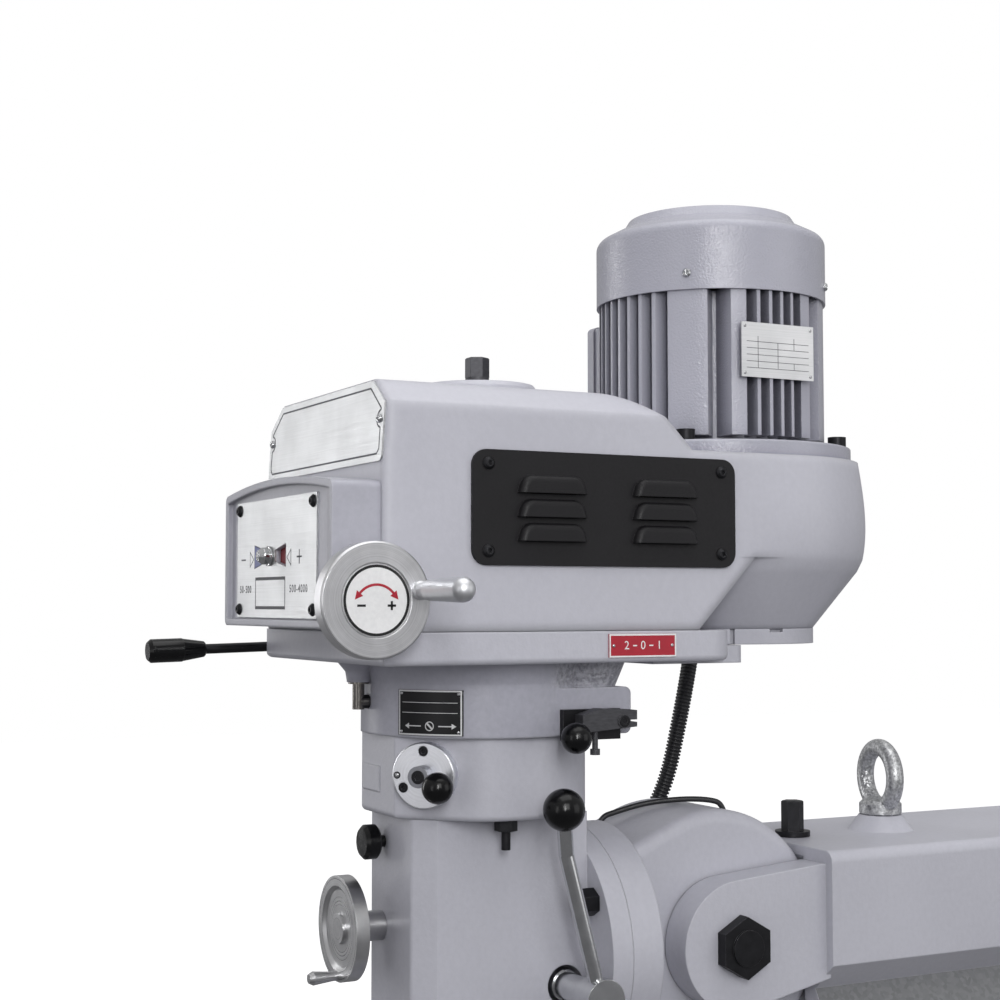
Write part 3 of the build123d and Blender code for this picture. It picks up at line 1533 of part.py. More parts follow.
def ram():
    section = Polygon((-ram_half, tilt - ram_side_drop), (-ram_neck_half, tilt - ram_neck_drop),
                      (-ram_foot_half, tilt - ram_foot_drop), (ram_foot_half, tilt - ram_foot_drop),
                      (ram_neck_half, tilt - ram_neck_drop), (ram_half, tilt - ram_side_drop),
                      (ram_half, ram_top), (-ram_half, ram_top), align=None)
    body = Pos(0, ram_start, 0) * extrude(Plane.XZ * section, -ram_length)
    body = fillet(body.edges().filter_by(Axis.Y).group_by(Axis.Z)[-1], 10)
    cheek_side = Circle(cheek_radius).edges()
    face = Pos(ram_front, (ram_rise - ram_neck_drop) / 2) * Rectangle(10, ram_rise + ram_neck_drop - 24)
    cheek = make_hull(cheek_side + face.edges())
    inner = knuckle_half + gap + 1.7
    for x in (inner, -inner - cheek_thick):
        body += Pos(x, nod_offset, tilt) * extrude(Plane.YZ * cheek, cheek_thick)
    body -= nod_axis_rod(knuckle_radius + 1.5, inner)
    body -= nod_axis_rod(pivot_radius, inner + cheek_thick)
    core_half = ram_half - ram_core_wall
    body -= block(-core_half, core_half, ram_start + ram_core_start, ram_start + ram_length - ram_core_wall,
                  tilt - ram_side_drop, ram_top - ram_core_wall)
    body += turned([(0, 0), (eye_boss_radius, 0), (eye_boss_radius + 11, eye_boss_height),
                    (eye_boss_radius + 11, eye_boss_height + ram_core_wall), (0, eye_boss_height + ram_core_wall)],
                   (0, eye_y(), ram_top + eye_boss_height), (0, 0, -1))
    body -= cyl(eye_shank_radius, ram_top + eye_boss_height - eye_shank_length, ram_top + eye_boss_height, 0, eye_y())
    body -= cyl(worm_radius + gap, tilt - worm_drop, ram_top, 0, worm_y())
    return body


def worm_y():
    return nod_offset + worm_offset


def eye_y():
    return nod_offset + eye_offset


def nod_screw():
    """Worm that nods the head, with the hexagon for its spanner above the ram."""
    low = tilt - worm_drop + gap
    collar_top = ram_top + gap + worm_collar_height
    thread_top = tilt + worm_drop
    count = int((thread_top - low) / worm_thread_pitch)
    points = [(0, low), (worm_radius - 2, low)]
    for i in range(count):
        z = low + i * worm_thread_pitch
        points += [(worm_radius - 2, z + 1), (worm_radius, z + 2.2), (worm_radius, z + 3.8), (worm_radius - 2, z + 5)]
    points += [(worm_radius - 2, thread_top), (worm_radius, thread_top + 2), (worm_radius, ram_top + gap),
               (worm_collar_radius, ram_top + gap), (worm_collar_radius, collar_top), (0, collar_top)]
    head = hexagon(worm_hex_across, collar_top, collar_top + worm_hex_height)
    head = chamfer(head.edges().group_by(Axis.Z)[-1], 1.0)
    return Pos(0, worm_y(), 0) * (turned(points) + head)


def nod_pivot_bolt():
    """Pivot bar through the ram's cheeks and the knuckle, nutted at both ends."""
    reach = knuckle_half + gap + 1.7 + cheek_thick
    bar = nod_axis_rod(pivot_radius, reach + pivot_nut_height + 2)
    for side in (-1, 1):
        nut = stood(hexagon(pivot_nut_across, 0, pivot_nut_height), (side * reach, nod_offset, tilt), (side, 0, 0))
        bar += nut
    return bar


def ram_eyebolt():
    """Lifting eye, screwed home with its ring a little off square to the ram."""
    top = ram_top + eye_boss_height
    ring_z = top + eye_seat + eye_ring_radius
    ring = Pos(0, eye_y(), ring_z) * Rot(0, 0, eye_turn) * Rot(90, 0, 0) * Torus(eye_ring_radius, eye_bar_radius)
    collar = turned([(0, 0), (eye_collar_radius - 1.5, 0), (eye_collar_radius, 1.5),
                     (eye_collar_radius, eye_collar_rise - 3), (eye_collar_radius - 3, eye_collar_rise),
                     (eye_bar_radius + 4, eye_collar_rise + 2), (0, eye_collar_rise + 2)], (0, eye_y(), top))
    shank = cyl(eye_shank_radius - press, top - eye_shank_length, top, 0, eye_y())
    return ring + collar + shank


# Conduit and cable

conduit_top = frame_bottom + terminal_rise
conduit_x = -terminal_pad - conduit_inset
conduit_y = motor_offset + conduit_shift
gland_z = tilt - adapter_gland_drop
conduit_points = [(conduit_x, conduit_y, conduit_top), (conduit_x, conduit_y, conduit_top - 32),
                  (conduit_x - 14, conduit_y + 18, conduit_top - 58),
                  (conduit_x - 33, conduit_y + 37, conduit_top - 102),
                  (conduit_x - 37, conduit_y + 51, conduit_top - 156),
                  (conduit_x - 25, conduit_y + 49, conduit_top - 210), (-131, 312, base_top - 39.5),
                  (-122, 292, tilt + 180), (-120, 275, tilt + 120), (-124, 250, tilt + 77),
                  (-128, 218, tilt + 43), (-127, 184, tilt + 15), (-119, 163, tilt),
                  (-98, adapter_gland_y, gland_z), (-knuckle_half - 7, adapter_gland_y, gland_z)]
cable_points = [(-24, 136, 300), (-24, 138, 319), (-20, 158, 325), (-10, 182, 332.5), (4, 214, 336), (13, 238, 335),
                (18, 250, 331), (18.5, 252, 318)]


def corner_radii(points):
    """Largest even bends: 0.45 of the shorter run over the tangent of half the turn."""
    radii = []
    for before, here, after in zip(points, points[1:], points[2:]):
        run_in = Vector(*here) - Vector(*before)
        run_out = Vector(*after) - Vector(*here)
        turn = math.radians(run_in.get_angle(run_out))
        radii.append(0.45 * min(run_in.length, run_out.length) / math.tan(turn / 2))
    return radii


def adapter_gland_face():
    return (-knuckle_half, adapter_gland_y, gland_z)


def conduit_start():
    way = Vector(*conduit_points[1]) - Vector(*conduit_points[0])
    return Vector(*conduit_points[0]) + way.normalized() * gland_length


def conduit_gland():
    """Threaded gland nut on the adapter's left flank."""
    face = adapter_gland_face()
    nut = stood(hexagon(gland_across, 0, adapter_gland_length), face, (-1, 0, 0))
    bore = rod(conduit_radius + gland_clear, (face[0] - 4, face[1], face[2]), (face[0] - adapter_gland_length, face[1], face[2]))
    return nut - bore


def route(points):
    return FilletPolyline(*points, radius=corner_radii(points))


def motor_conduit():
    """Corrugated conduit: ribs lofted along the route over a smooth bore."""
    path = route(conduit_points)
    length = path.length
    count = int(length / conduit_pitch)
    steps = []
    for i in range(count):
        for share, radius in ((0.0, conduit_root_radius), (conduit_flank, conduit_radius),
                              (conduit_flank + conduit_crest, conduit_radius),
                              (2 * conduit_flank + conduit_crest, conduit_root_radius)):
            steps.append(((i + share) / count, radius))
    steps.append((1.0, conduit_root_radius))
    rings = []
    for place, radius in steps:
        plane = route_plane(path, place)
        rings.append(plane * Circle(radius))
    body = loft(rings, ruled=True)
    bore = sweep(route_plane(path, 0) * Circle(conduit_bore_radius), path)
    print("conduit length", round(length, 1), "ribs", count, "radii", [round(r) for r in corner_radii(conduit_points)])
    return body - bore


def route_plane(path, place):
    """Section plane square to the route, with its X axis kept steady along world Y."""
    way = path.tangent_at(place)
    steady = Vector(0.9, 0.35, 0.2)
    side = steady - way * steady.dot(way)
    return Plane(origin=path.position_at(place), x_dir=side, z_dir=way)


def signal_cable():
    path = route(cable_points)
    print("cable length", round(path.length, 1), "radii", [round(r) for r in corner_radii(cable_points)])
    return sweep(route_plane(path, 0) * Circle(cable_radius), path)


NODES = {
    "ram": ram, "ram_eyebolt": ram_eyebolt, "nod_pivot_bolt": nod_pivot_bolt, "nod_screw": nod_screw,
    "ram_adapter": ram_adapter, "conduit_gland": conduit_gland, "signal_cable": signal_cable,
    "motor_conduit": motor_conduit, "head_casting": head_casting, "head_clamp_bolts": head_clamp_bolts,
    "gear_housing": gear_housing, "housing_base": housing_base, "belt_housing": belt_housing,
    "pulley_cover": pulley_cover, "bearing_cap": bearing_cap, "front_plate": front_plate, "speed_box": speed_box,
    "speed_plate": speed_plate, "range_plate": range_plate, "feed_plate": feed_plate, "vent_covers": vent_covers,
    "black_screws": black_screws, "plate_screws": plate_screws, "motor_flange": motor_flange,
    "motor_frame": motor_frame, "fan_cover": fan_cover, "terminal_box": terminal_box, "rating_plate": rating_plate,
    "stator": stator, "ball_bearings": ball_bearings, "drive_belt": drive_belt, "oil_elbow": oil_elbow,
    "feed_hub": feed_hub, "range_bracket": range_bracket, "motor_rotor": motor_rotor, "cooling_fan": cooling_fan,
    "motor_disc_fixed": motor_disc_fixed, "motor_disc_sliding": motor_disc_sliding, "pulley_hub": pulley_hub,
    "spindle_disc_fixed": spindle_disc_fixed, "spindle_disc_sliding": spindle_disc_sliding, "quill": quill,
    "spindle_bearings": spindle_bearings, "spindle": spindle, "drawbar": drawbar, "quill_handle": quill_handle,
    "quill_handle_knob": quill_handle_knob, "fine_feed_wheel": fine_feed_wheel, "quill_lock_lever": quill_lock_lever,
    "reverse_knob": reverse_knob, "speed_handwheel": speed_handwheel, "handwheel_disc": handwheel_disc,
    "handwheel_handle": handwheel_handle, "speed_dial": speed_dial, "brake_lever": brake_lever,
    "brake_grip": brake_grip, "range_lever": range_lever, "range_knob": range_knob, "feed_lever": feed_lever,
    "feed_knob": feed_knob,
}

os.makedirs("parts", exist_ok=True)
for name, make in NODES.items():
    export_step(make(), f"parts/{name}.step")
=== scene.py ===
import math

import bpy
from mathutils import Matrix, Vector


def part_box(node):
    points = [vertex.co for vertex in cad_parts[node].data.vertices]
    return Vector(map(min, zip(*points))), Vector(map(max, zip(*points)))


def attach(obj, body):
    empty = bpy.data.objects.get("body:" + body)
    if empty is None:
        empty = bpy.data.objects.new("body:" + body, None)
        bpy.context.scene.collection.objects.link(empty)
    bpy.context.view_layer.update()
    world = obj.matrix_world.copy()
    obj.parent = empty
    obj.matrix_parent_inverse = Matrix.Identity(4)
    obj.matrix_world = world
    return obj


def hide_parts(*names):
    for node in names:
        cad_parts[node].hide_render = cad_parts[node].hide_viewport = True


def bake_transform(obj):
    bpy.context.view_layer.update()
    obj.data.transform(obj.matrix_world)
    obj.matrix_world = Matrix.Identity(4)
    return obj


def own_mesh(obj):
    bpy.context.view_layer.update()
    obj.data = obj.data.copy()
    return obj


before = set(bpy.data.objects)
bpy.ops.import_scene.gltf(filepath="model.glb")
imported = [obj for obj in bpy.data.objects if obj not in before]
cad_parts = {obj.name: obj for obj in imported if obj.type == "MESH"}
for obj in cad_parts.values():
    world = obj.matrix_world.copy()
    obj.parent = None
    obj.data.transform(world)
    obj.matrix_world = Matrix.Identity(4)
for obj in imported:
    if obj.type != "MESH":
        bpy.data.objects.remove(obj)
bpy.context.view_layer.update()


# Ram: the long grey iron casting that carries the head. It is sand cast, filled and
# sprayed with semi-gloss enamel, and its top is left as painted casting.

mm = 0.001


def linear(code):
    """Linear colour, with alpha, from an sRGB hex code."""
    parts = [int(code[i:i + 2], 16) / 255 for i in (1, 3, 5)]
    return [c / 12.92 if c <= 0.04045 else ((c + 0.055) / 1.055) ** 2.4 for c in parts] + [1.0]


def connect(tree, node, links):
    """Sets a node's inputs, each to a plain value, an output or a node's first output."""
    for socket, source in links.items():
        if isinstance(source, bpy.types.Node):
            source = next(out for out in source.outputs if out.enabled)
        if isinstance(source, bpy.types.NodeSocket):
            tree.links.new(source, node.inputs[socket])
        else:
            node.inputs[socket].default_value = source


def add(tree, kind, links=None, **settings):
    """A node with its settings and with its inputs connected."""
    node = tree.nodes.new(kind)
    for name, value in settings.items():
        setattr(node, name, value)
    connect(tree, node, links or {})
    return node


def new_finish(name, **sockets):
    """An empty finish: its material, node tree, shader and the piece's own coordinates."""
    material = bpy.data.materials.new(name)
    material.use_nodes = True
    tree = material.node_tree
    shader = tree.nodes["Principled BSDF"]
    for socket, value in sockets.items():
        shader.inputs[socket.replace("_", " ")].default_value = value
    return material, tree, shader, add(tree, "ShaderNodeTexCoord").outputs["Object"]


def paint(material, *nodes):
    """Gives CAD pieces their finish."""
    for node in nodes:
        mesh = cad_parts[node].data
        mesh.materials.clear()
        mesh.materials.append(material)


def paint_faces(material, node, chosen):
    """Gives some faces of a CAD piece, picked by a rule, a second finish."""
    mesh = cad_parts[node].data
    mesh.materials.append(material)
    for face in mesh.polygons:
        if chosen(face):
            face.material_index = 1


# Orange peel on a real casting is about 1.5 mm; it is drawn at 2.5 mm so that it shows.
peel_mm = 2.5


def enamel_on_casting(name, shade, light, edge_mm, peel_depth_mm=0.13):
    """Sprayed enamel: slow drift in tone, orange peel, painted highlights on edges and painted shade in creases."""
    material, tree, shader, place = new_finish(name, IOR=1.5)
    drift = add(tree, "ShaderNodeTexNoise", {"Vector": place, "Scale": 1 / (90 * mm), "Detail": 3.0})
    speck = add(tree, "ShaderNodeTexNoise", {"Vector": place, "Scale": 1 / (5 * mm), "Detail": 4.0})
    both = add(tree, "ShaderNodeMath", {0: drift, 1: speck}, operation="ADD")
    share = add(tree, "ShaderNodeMapRange", {"Value": both, "From Min": 0.75, "From Max": 1.25})
    tone = add(tree, "ShaderNodeMix", {"Factor": share, "A": linear(shade), "B": linear(light)}, data_type="RGBA")
    # Painted highlight: where the bevelled normal turns from the flat one, on convex and concave edges alike, the
    # tone is lightened towards a pale grey.
    edge = add(tree, "ShaderNodeBevel", {"Radius": edge_mm * mm}, samples=6)
    flat = add(tree, "ShaderNodeNewGeometry").outputs["Normal"]
    turn = add(tree, "ShaderNodeVectorMath", {0: edge, 1: flat}, operation="DOT_PRODUCT")
    edge_highlight = add(tree, "ShaderNodeMapRange", {"Value": turn, "From Min": 0.97, "From Max": 0.8, "To Max": 0.55})
    edge_lit_tone = add(tree, "ShaderNodeMix", {"Factor": edge_highlight, "A": tone, "B": linear("#d3d3da")}, data_type="RGBA")
    # Painted shade: in creases, corners and gaps, found by ambient occlusion, the tone darkens towards a dark grey.
    nook = add(tree, "ShaderNodeAmbientOcclusion", {"Distance": 14 * mm}, samples=4).outputs["AO"]
    crease_shade = add(tree, "ShaderNodeMapRange", {"Value": nook, "From Min": 0.75, "From Max": 0.2, "To Max": 0.36})
    shaded_tone = add(tree, "ShaderNodeMix", {"Factor": crease_shade, "A": edge_lit_tone, "B": linear("#77777f")}, data_type="RGBA")
    gloss = add(tree, "ShaderNodeMapRange", {"Value": drift, "From Min": 0.3, "From Max": 0.7,
                                             "To Min": 0.31, "To Max": 0.43})
    wave = add(tree, "ShaderNodeTexNoise", {"Vector": place, "Scale": 1 / (30 * mm), "Detail": 1.0})
    swell = add(tree, "ShaderNodeBump", {"Height": wave, "Distance": 0.5 * mm, "Strength": 0.15, "Normal": edge})
    peel = add(tree, "ShaderNodeTexNoise", {"Vector": place, "Scale": 1 / (peel_mm * mm), "Detail": 2.0})
    skin = add(tree, "ShaderNodeBump", {"Height": peel, "Distance": peel_depth_mm * mm, "Normal": swell})
    connect(tree, shader, {"Base Color": shaded_tone, "Roughness": gloss, "Normal": skin})
    return material


casting_enamel = enamel_on_casting("grey_enamel_on_cast_iron", "#b8b8c1", "#bebec7", 2.0)
paint(casting_enamel, "ram")

# The dovetail under the ram is planed and hand scraped, then left bare and oiled. Each
# stroke of the scraper leaves a brighter or duller flake.
scraped, tree, shader, place = new_finish("scraped_bare_cast_iron", Metallic=0.9)
strokes = add(tree, "ShaderNodeTexVoronoi", {"Vector": place, "Scale": 1 / (4 * mm)}).outputs["Color"]
flake = add(tree, "ShaderNodeSeparateColor", {"Color": strokes})
tone = add(tree, "ShaderNodeMix", {"Factor": flake, "A": linear("#818284"), "B": linear("#8f9092")}, data_type="RGBA")
haze = add(tree, "ShaderNodeMapRange", {"Value": flake.outputs["Green"], "To Min": 0.36, "To Max": 0.44})
connect(tree, shader, {"Base Color": tone, "Roughness": haze})
dovetail_height = 45 * mm
dovetail_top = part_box("ram")[0][2] + dovetail_height
paint_faces(scraped, "ram", lambda face: face.center.z < dovetail_top and abs(face.normal.y) < 0.5)


# Lifting eye: a drop-forged steel eyebolt, hot-dip galvanised. The zinc freezes in
# dull and bright grains and leaves small lumps, which break up its highlights.

zinc, tree, shader, place = new_finish("hot_dip_galvanised_steel", Metallic=1.0)
grain = add(tree, "ShaderNodeTexNoise", {"Vector": place, "Scale": 1 / (2.5 * mm), "Detail": 5.0})
tone = add(tree, "ShaderNodeValToRGB", {"Fac": grain})
for stop, position, code in zip(tone.color_ramp.elements, (0.32, 0.66), ("#97989a", "#d8d9da")):
    stop.position = position
    stop.color = linear(code)
spangle = add(tree, "ShaderNodeTexVoronoi", {"Vector": place, "Scale": 1 / (5 * mm)}).outputs["Color"]
cell = add(tree, "ShaderNodeSeparateColor", {"Color": spangle})
dull = add(tree, "ShaderNodeMapRange", {"Value": cell, "To Min": 0.34, "To Max": 0.58})
lump = add(tree, "ShaderNodeBump", {"Height": grain, "Distance": 0.4 * mm, "Strength": 0.7})
# Drips of zinc gather inside the eye.
eye_centre = (0.0, 0.453, 0.3455)
reach = add(tree, "ShaderNodeVectorMath", {0: place, 1: eye_centre}, operation="DISTANCE")
inside = add(tree, "ShaderNodeMapRange", {"Value": reach, "From Min": 30 * mm, "From Max": 23 * mm})
bead = add(tree, "ShaderNodeTexVoronoi", {"Vector": place, "Scale": 1 / (3.2 * mm)}, feature="SMOOTH_F1")
drips = add(tree, "ShaderNodeBump", {"Height": bead, "Distance": 1.4 * mm, "Strength": inside, "Normal": lump},
            invert=True)
connect(tree, shader, {"Base Color": tone, "Roughness": dull, "Normal": drips})
paint(zinc, "ram_eyebolt")


# Nod screw, pivot bolt and the other dark hardware: machined steel blackened in hot
# salts and oiled. The oxide is thin, so the metal's sheen comes through it.

black_oxide, tree, shader, place = new_finish("black_oxide_steel", Metallic=0.85)
oil = add(tree, "ShaderNodeTexNoise", {"Vector": place, "Scale": 1 / (9 * mm), "Detail": 5.0})
tone = add(tree, "ShaderNodeMix", {"Factor": oil, "A": linear("#222224"), "B": linear("#343437")}, data_type="RGBA")
edge = add(tree, "ShaderNodeBevel", {"Radius": 0.6 * mm}, samples=4)
flat = add(tree, "ShaderNodeNewGeometry").outputs["Normal"]
turn = add(tree, "ShaderNodeVectorMath", {0: edge, 1: flat}, operation="DOT_PRODUCT")
rubbed = add(tree, "ShaderNodeMapRange", {"Value": turn, "From Min": 0.97, "From Max": 0.75, "To Max": 0.6})
bare = add(tree, "ShaderNodeMix", {"Factor": rubbed, "A": tone, "B": linear("#77777b")}, data_type="RGBA")
sheen = add(tree, "ShaderNodeMapRange", {"Value": oil, "From Min": 0.3, "From Max": 0.7,
                                         "To Min": 0.36, "To Max": 0.52})
# The oxide's own grain is far finer; it is drawn at 0.8 mm so that it shows.
grit = add(tree, "ShaderNodeTexNoise", {"Vector": place, "Scale": 1 / (0.8 * mm), "Detail": 2.0})
skin = add(tree, "ShaderNodeBump", {"Height": grit, "Distance": 0.03 * mm, "Normal": edge})
connect(tree, shader, {"Base Color": bare, "Roughness": sheen, "Normal": skin})
paint(black_oxide, "nod_screw", "nod_pivot_bolt")


# Ram adapter: the knuckle between ram and head, an iron casting in the same enamel. It
# turns on the pivot bolt, so that the head can nod.

paint(casting_enamel, "ram_adapter")


# Signal cable: a thin PVC-sheathed lead that leaves one hole in the adapter, lies
# along its crown and goes into a second hole.

def clouded(name, shade, light, cloud_mm, detail, gloss, span=(0.0, 1.0), stretch=None, edge_mm=None, **sockets):
    """A finish whose tone and gloss drift together in soft clouds of one size."""
    material, tree, shader, place = new_finish(name, **sockets)
    if stretch:
        place = add(tree, "ShaderNodeMapping", {"Vector": place, "Scale": stretch})
    cloud = add(tree, "ShaderNodeTexNoise", {"Vector": place, "Scale": 1 / (cloud_mm * mm), "Detail": detail})
    tone = add(tree, "ShaderNodeMix", {"Factor": cloud, "A": linear(shade), "B": linear(light)}, data_type="RGBA")
    haze = add(tree, "ShaderNodeMapRange", {"Value": cloud, "From Min": span[0], "From Max": span[1],
                                            "To Min": gloss[0], "To Max": gloss[1]})
    connect(tree, shader, {"Base Color": tone, "Roughness": haze})
    if edge_mm:
        connect(tree, shader, {"Normal": add(tree, "ShaderNodeBevel", {"Radius": edge_mm * mm}, samples=4)})
    return material


# Extruded PVC has a soft shine that dust dulls in patches.
sheath = clouded("black_pvc_sheath", "#161618", "#2a2a2d", 6, 4.0, (0.34, 0.56), IOR=1.53)

cable_route = [(-24, 136, 300), (-24, 138, 319), (-20, 158, 325), (-10, 182, 332.5), (4, 214, 336),
               (13, 238, 335), (18, 250, 331), (18.5, 252, 318)]
cable_radius = 2.6 * mm


def smooth_route(name, points):
    """One NURBS line with the route's points, in millimetres, as its control points."""
    line = bpy.data.curves.new(name, "CURVE")
    line.dimensions = "3D"
    line.resolution_u = 16
    spline = line.splines.new("NURBS")
    spline.points.add(len(points) - 1)
    for control, point in zip(spline.points, points):
        control.co = [c * mm for c in point] + [1.0]
    spline.order_u = 3
    spline.use_endpoint_u = True
    return line


cable_line = smooth_route("signal_cable_sheath", cable_route)
cable_line.bevel_depth = cable_radius
cable_line.bevel_resolution = 6
cable_line.materials.append(sheath)
cable = bpy.data.objects.new("signal_cable_sheath", cable_line)
bpy.context.scene.collection.objects.link(cable)
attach(cable, "adapter")
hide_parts("signal_cable")


# Motor conduit: corrugated black nylon hose that guards the motor leads, from the
# gland under the terminal box to a gland on the adapter. Its ribs are moulded.

# Moulded nylon is waxy, with a low sheen. Its grain is finer than 1 mm; it is drawn at
# that size so that it shows.
nylon = clouded("black_moulded_nylon", "#0f0f12", "#232327", 14, 5.0, (0.36, 0.55), IOR=1.53)
tree = nylon.node_tree
place = add(tree, "ShaderNodeTexCoord").outputs["Object"]
grit = add(tree, "ShaderNodeTexNoise", {"Vector": place, "Scale": 1 / (1.0 * mm), "Detail": 2.0})
skin = add(tree, "ShaderNodeBump", {"Height": grit, "Distance": 0.02 * mm})
connect(tree, tree.nodes["Principled BSDF"], {"Normal": skin})

conduit_route = [(-125, 285, 726), (-125, 285, 694), (-139, 303, 668), (-158, 322, 624), (-162, 336, 570),
                 (-150, 334, 516), (-131, 312, 457), (-122, 292, 395), (-120, 275, 335), (-124, 250, 292),
                 (-128, 218, 258), (-127, 184, 230), (-119, 163, 215), (-98, 141, 207), (-67, 141, 207)]
crest_radius = 8.2 * mm
root_radius = 6.6 * mm
rib_pitch = 3.6 * mm
rib_steps = [(0.0, 0.0), (0.12, 1.0), (0.22, 1.0), (0.46, 1.0), (0.57, 1.0), (0.69, 0.0)]
conduit_sides = 22


def points_on(line):
    """Points along a smooth route, read from Blender's own curve."""
    holder = bpy.data.objects.new("route_reader", line)
    bpy.context.scene.collection.objects.link(holder)
    bpy.context.view_layer.update()
    mesh = bpy.data.meshes.new_from_object(holder)
    found = [v.co.copy() for v in mesh.vertices]
    bpy.data.objects.remove(holder)
    bpy.data.meshes.remove(mesh)
    return found


def ring_faces(rows, sides, first=0):
    """Quads between each ring of points and the next one."""
    faces = []
    for row in range(rows - 1):
        for k in range(sides):
            a = first + row * sides + k
            b = first + row * sides + (k + 1) % sides
            faces.append([a, b, b + sides, a + sides])
    return faces


def new_piece(name, vertices, faces, material, body, smooth=True):
    """A mesh piece that rides on a body, with its finish."""
    mesh = bpy.data.meshes.new(name)
    mesh.from_pydata([tuple(v) for v in vertices], [], faces)
    mesh.materials.append(material)
    if smooth:
        mesh.shade_smooth()
    piece = bpy.data.objects.new(name, mesh)
    bpy.context.scene.collection.objects.link(piece)
    if body:
        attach(piece, body)
    return piece


centre_line = points_on(smooth_route("conduit_route", conduit_route))
reach = [0.0]
for before, here in zip(centre_line, centre_line[1:]):
    reach.append(reach[-1] + (here - before).length)
conduit_length = reach[-1]
rib_count = round(conduit_length / rib_pitch)
vertices = []
span = 0
across = Vector((1, 0, 0))
for rib in range(rib_count):
    for share, height in rib_steps:
        at = (rib + share) / rib_count * conduit_length
        while span < len(reach) - 2 and reach[span + 1] < at:
            span += 1
        part = (at - reach[span]) / (reach[span + 1] - reach[span])
        way = (centre_line[span + 1] - centre_line[span]).normalized()
        across = (across - way * across.dot(way)).normalized()
        over = way.cross(across)
        middle = centre_line[span].lerp(centre_line[span + 1], part)
        radius = root_radius + (crest_radius - root_radius) * height
        for k in range(conduit_sides):
            angle = 2 * math.pi * k / conduit_sides
            vertices.append(middle + (across * math.cos(angle) + over * math.sin(angle)) * radius)
faces = ring_faces(rib_count * len(rib_steps), conduit_sides)
faces.append(list(reversed(range(conduit_sides))))
faces.append(list(range(len(vertices) - conduit_sides, len(vertices))))
conduit = new_piece("corrugated_conduit", vertices, faces, nylon, None)
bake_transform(conduit)
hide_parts("motor_conduit")
paint(nylon, "conduit_gland")


# Lower head and its clamp bolts: the iron casting that holds the quill, sprayed like
# the rest, with blackened nuts on the tee bolts that hold the head's tilt.

paint(casting_enamel, "head_casting")
paint(black_oxide, "head_clamp_bolts")


# Quill, spindle and bearings: alloy steel, hardened and ground, oiled and left bare.
# Grinding leaves fine rings round the axis that stretch the reflections.

# Grinding lines are under 0.1 mm apart; they are drawn at 0.9 mm so that they show.
ground_steel, tree, shader, place = new_finish("ground_steel", Metallic=1.0)
ring = add(tree, "ShaderNodeMapping", {"Vector": place, "Scale": (40, 40, 1 / (0.9 * mm))})
lay = add(tree, "ShaderNodeTexNoise", {"Vector": ring, "Scale": 1.0, "Detail": 3.0})
smear = add(tree, "ShaderNodeTexNoise", {"Vector": place, "Scale": 1 / (25 * mm), "Detail": 4.0})
tone = add(tree, "ShaderNodeMix", {"Factor": smear, "A": linear("#b4b4b6"), "B": linear("#cfcfd1")}, data_type="RGBA")
haze = add(tree, "ShaderNodeMapRange", {"Value": lay, "From Min": 0.3, "From Max": 0.7,
                                        "To Min": 0.2, "To Max": 0.36})
scratch = add(tree, "ShaderNodeBump", {"Height": lay, "Distance": 0.02 * mm})
connect(tree, shader, {"Base Color": tone, "Roughness": haze, "Normal": scratch})
paint(ground_steel, "quill", "spindle", "spindle_bearings", "ball_bearings", "pulley_hub")

# Milled bar, blackened: tool marks along the bar break up the dark sheen.
# Painted light: this is a paler, lit copy of the blackened steel, for the drawbar and the range lever.
lit_bar_oxide = clouded("lit_blackened_milled_bar", "#3b3b3e", "#626266", 2, 5.0, (0.42, 0.58), stretch=(1, 0.25, 1),
                    edge_mm=0.8, Metallic=0.7)
paint(lit_bar_oxide, "drawbar")


# Quill handle, lock lever and other plated levers: turned steel, polished and chromed.
# The plate is nearly a mirror, dulled a little by handling.

chrome = clouded("chrome_plated_steel", "#bcbdbf", "#d4d5d6", 12, 5.0, (0.1, 0.22), span=(0.3, 0.7), edge_mm=0.8,
                 Metallic=1.0)
paint(chrome, "quill_handle", "quill_lock_lever")


# Lever balls and grips: black phenolic resin, moulded and tumbled bright, screwed on
# the lever ends. A hard gloss with faint scuffs from hands.

phenolic = clouded("black_phenolic", "#050506", "#0e0e10", 7, 6.0, (0.14, 0.28), span=(0.35, 0.7), IOR=1.52,
                   Specular_IOR_Level=0.3)
paint(phenolic, "quill_handle_knob", "reverse_knob", "range_knob", "feed_knob", "brake_grip")


# Fine feed wheel: an aluminium handwheel turned all over on the lathe, so fine rings
# run round its axis, with its crank grip on the rim.

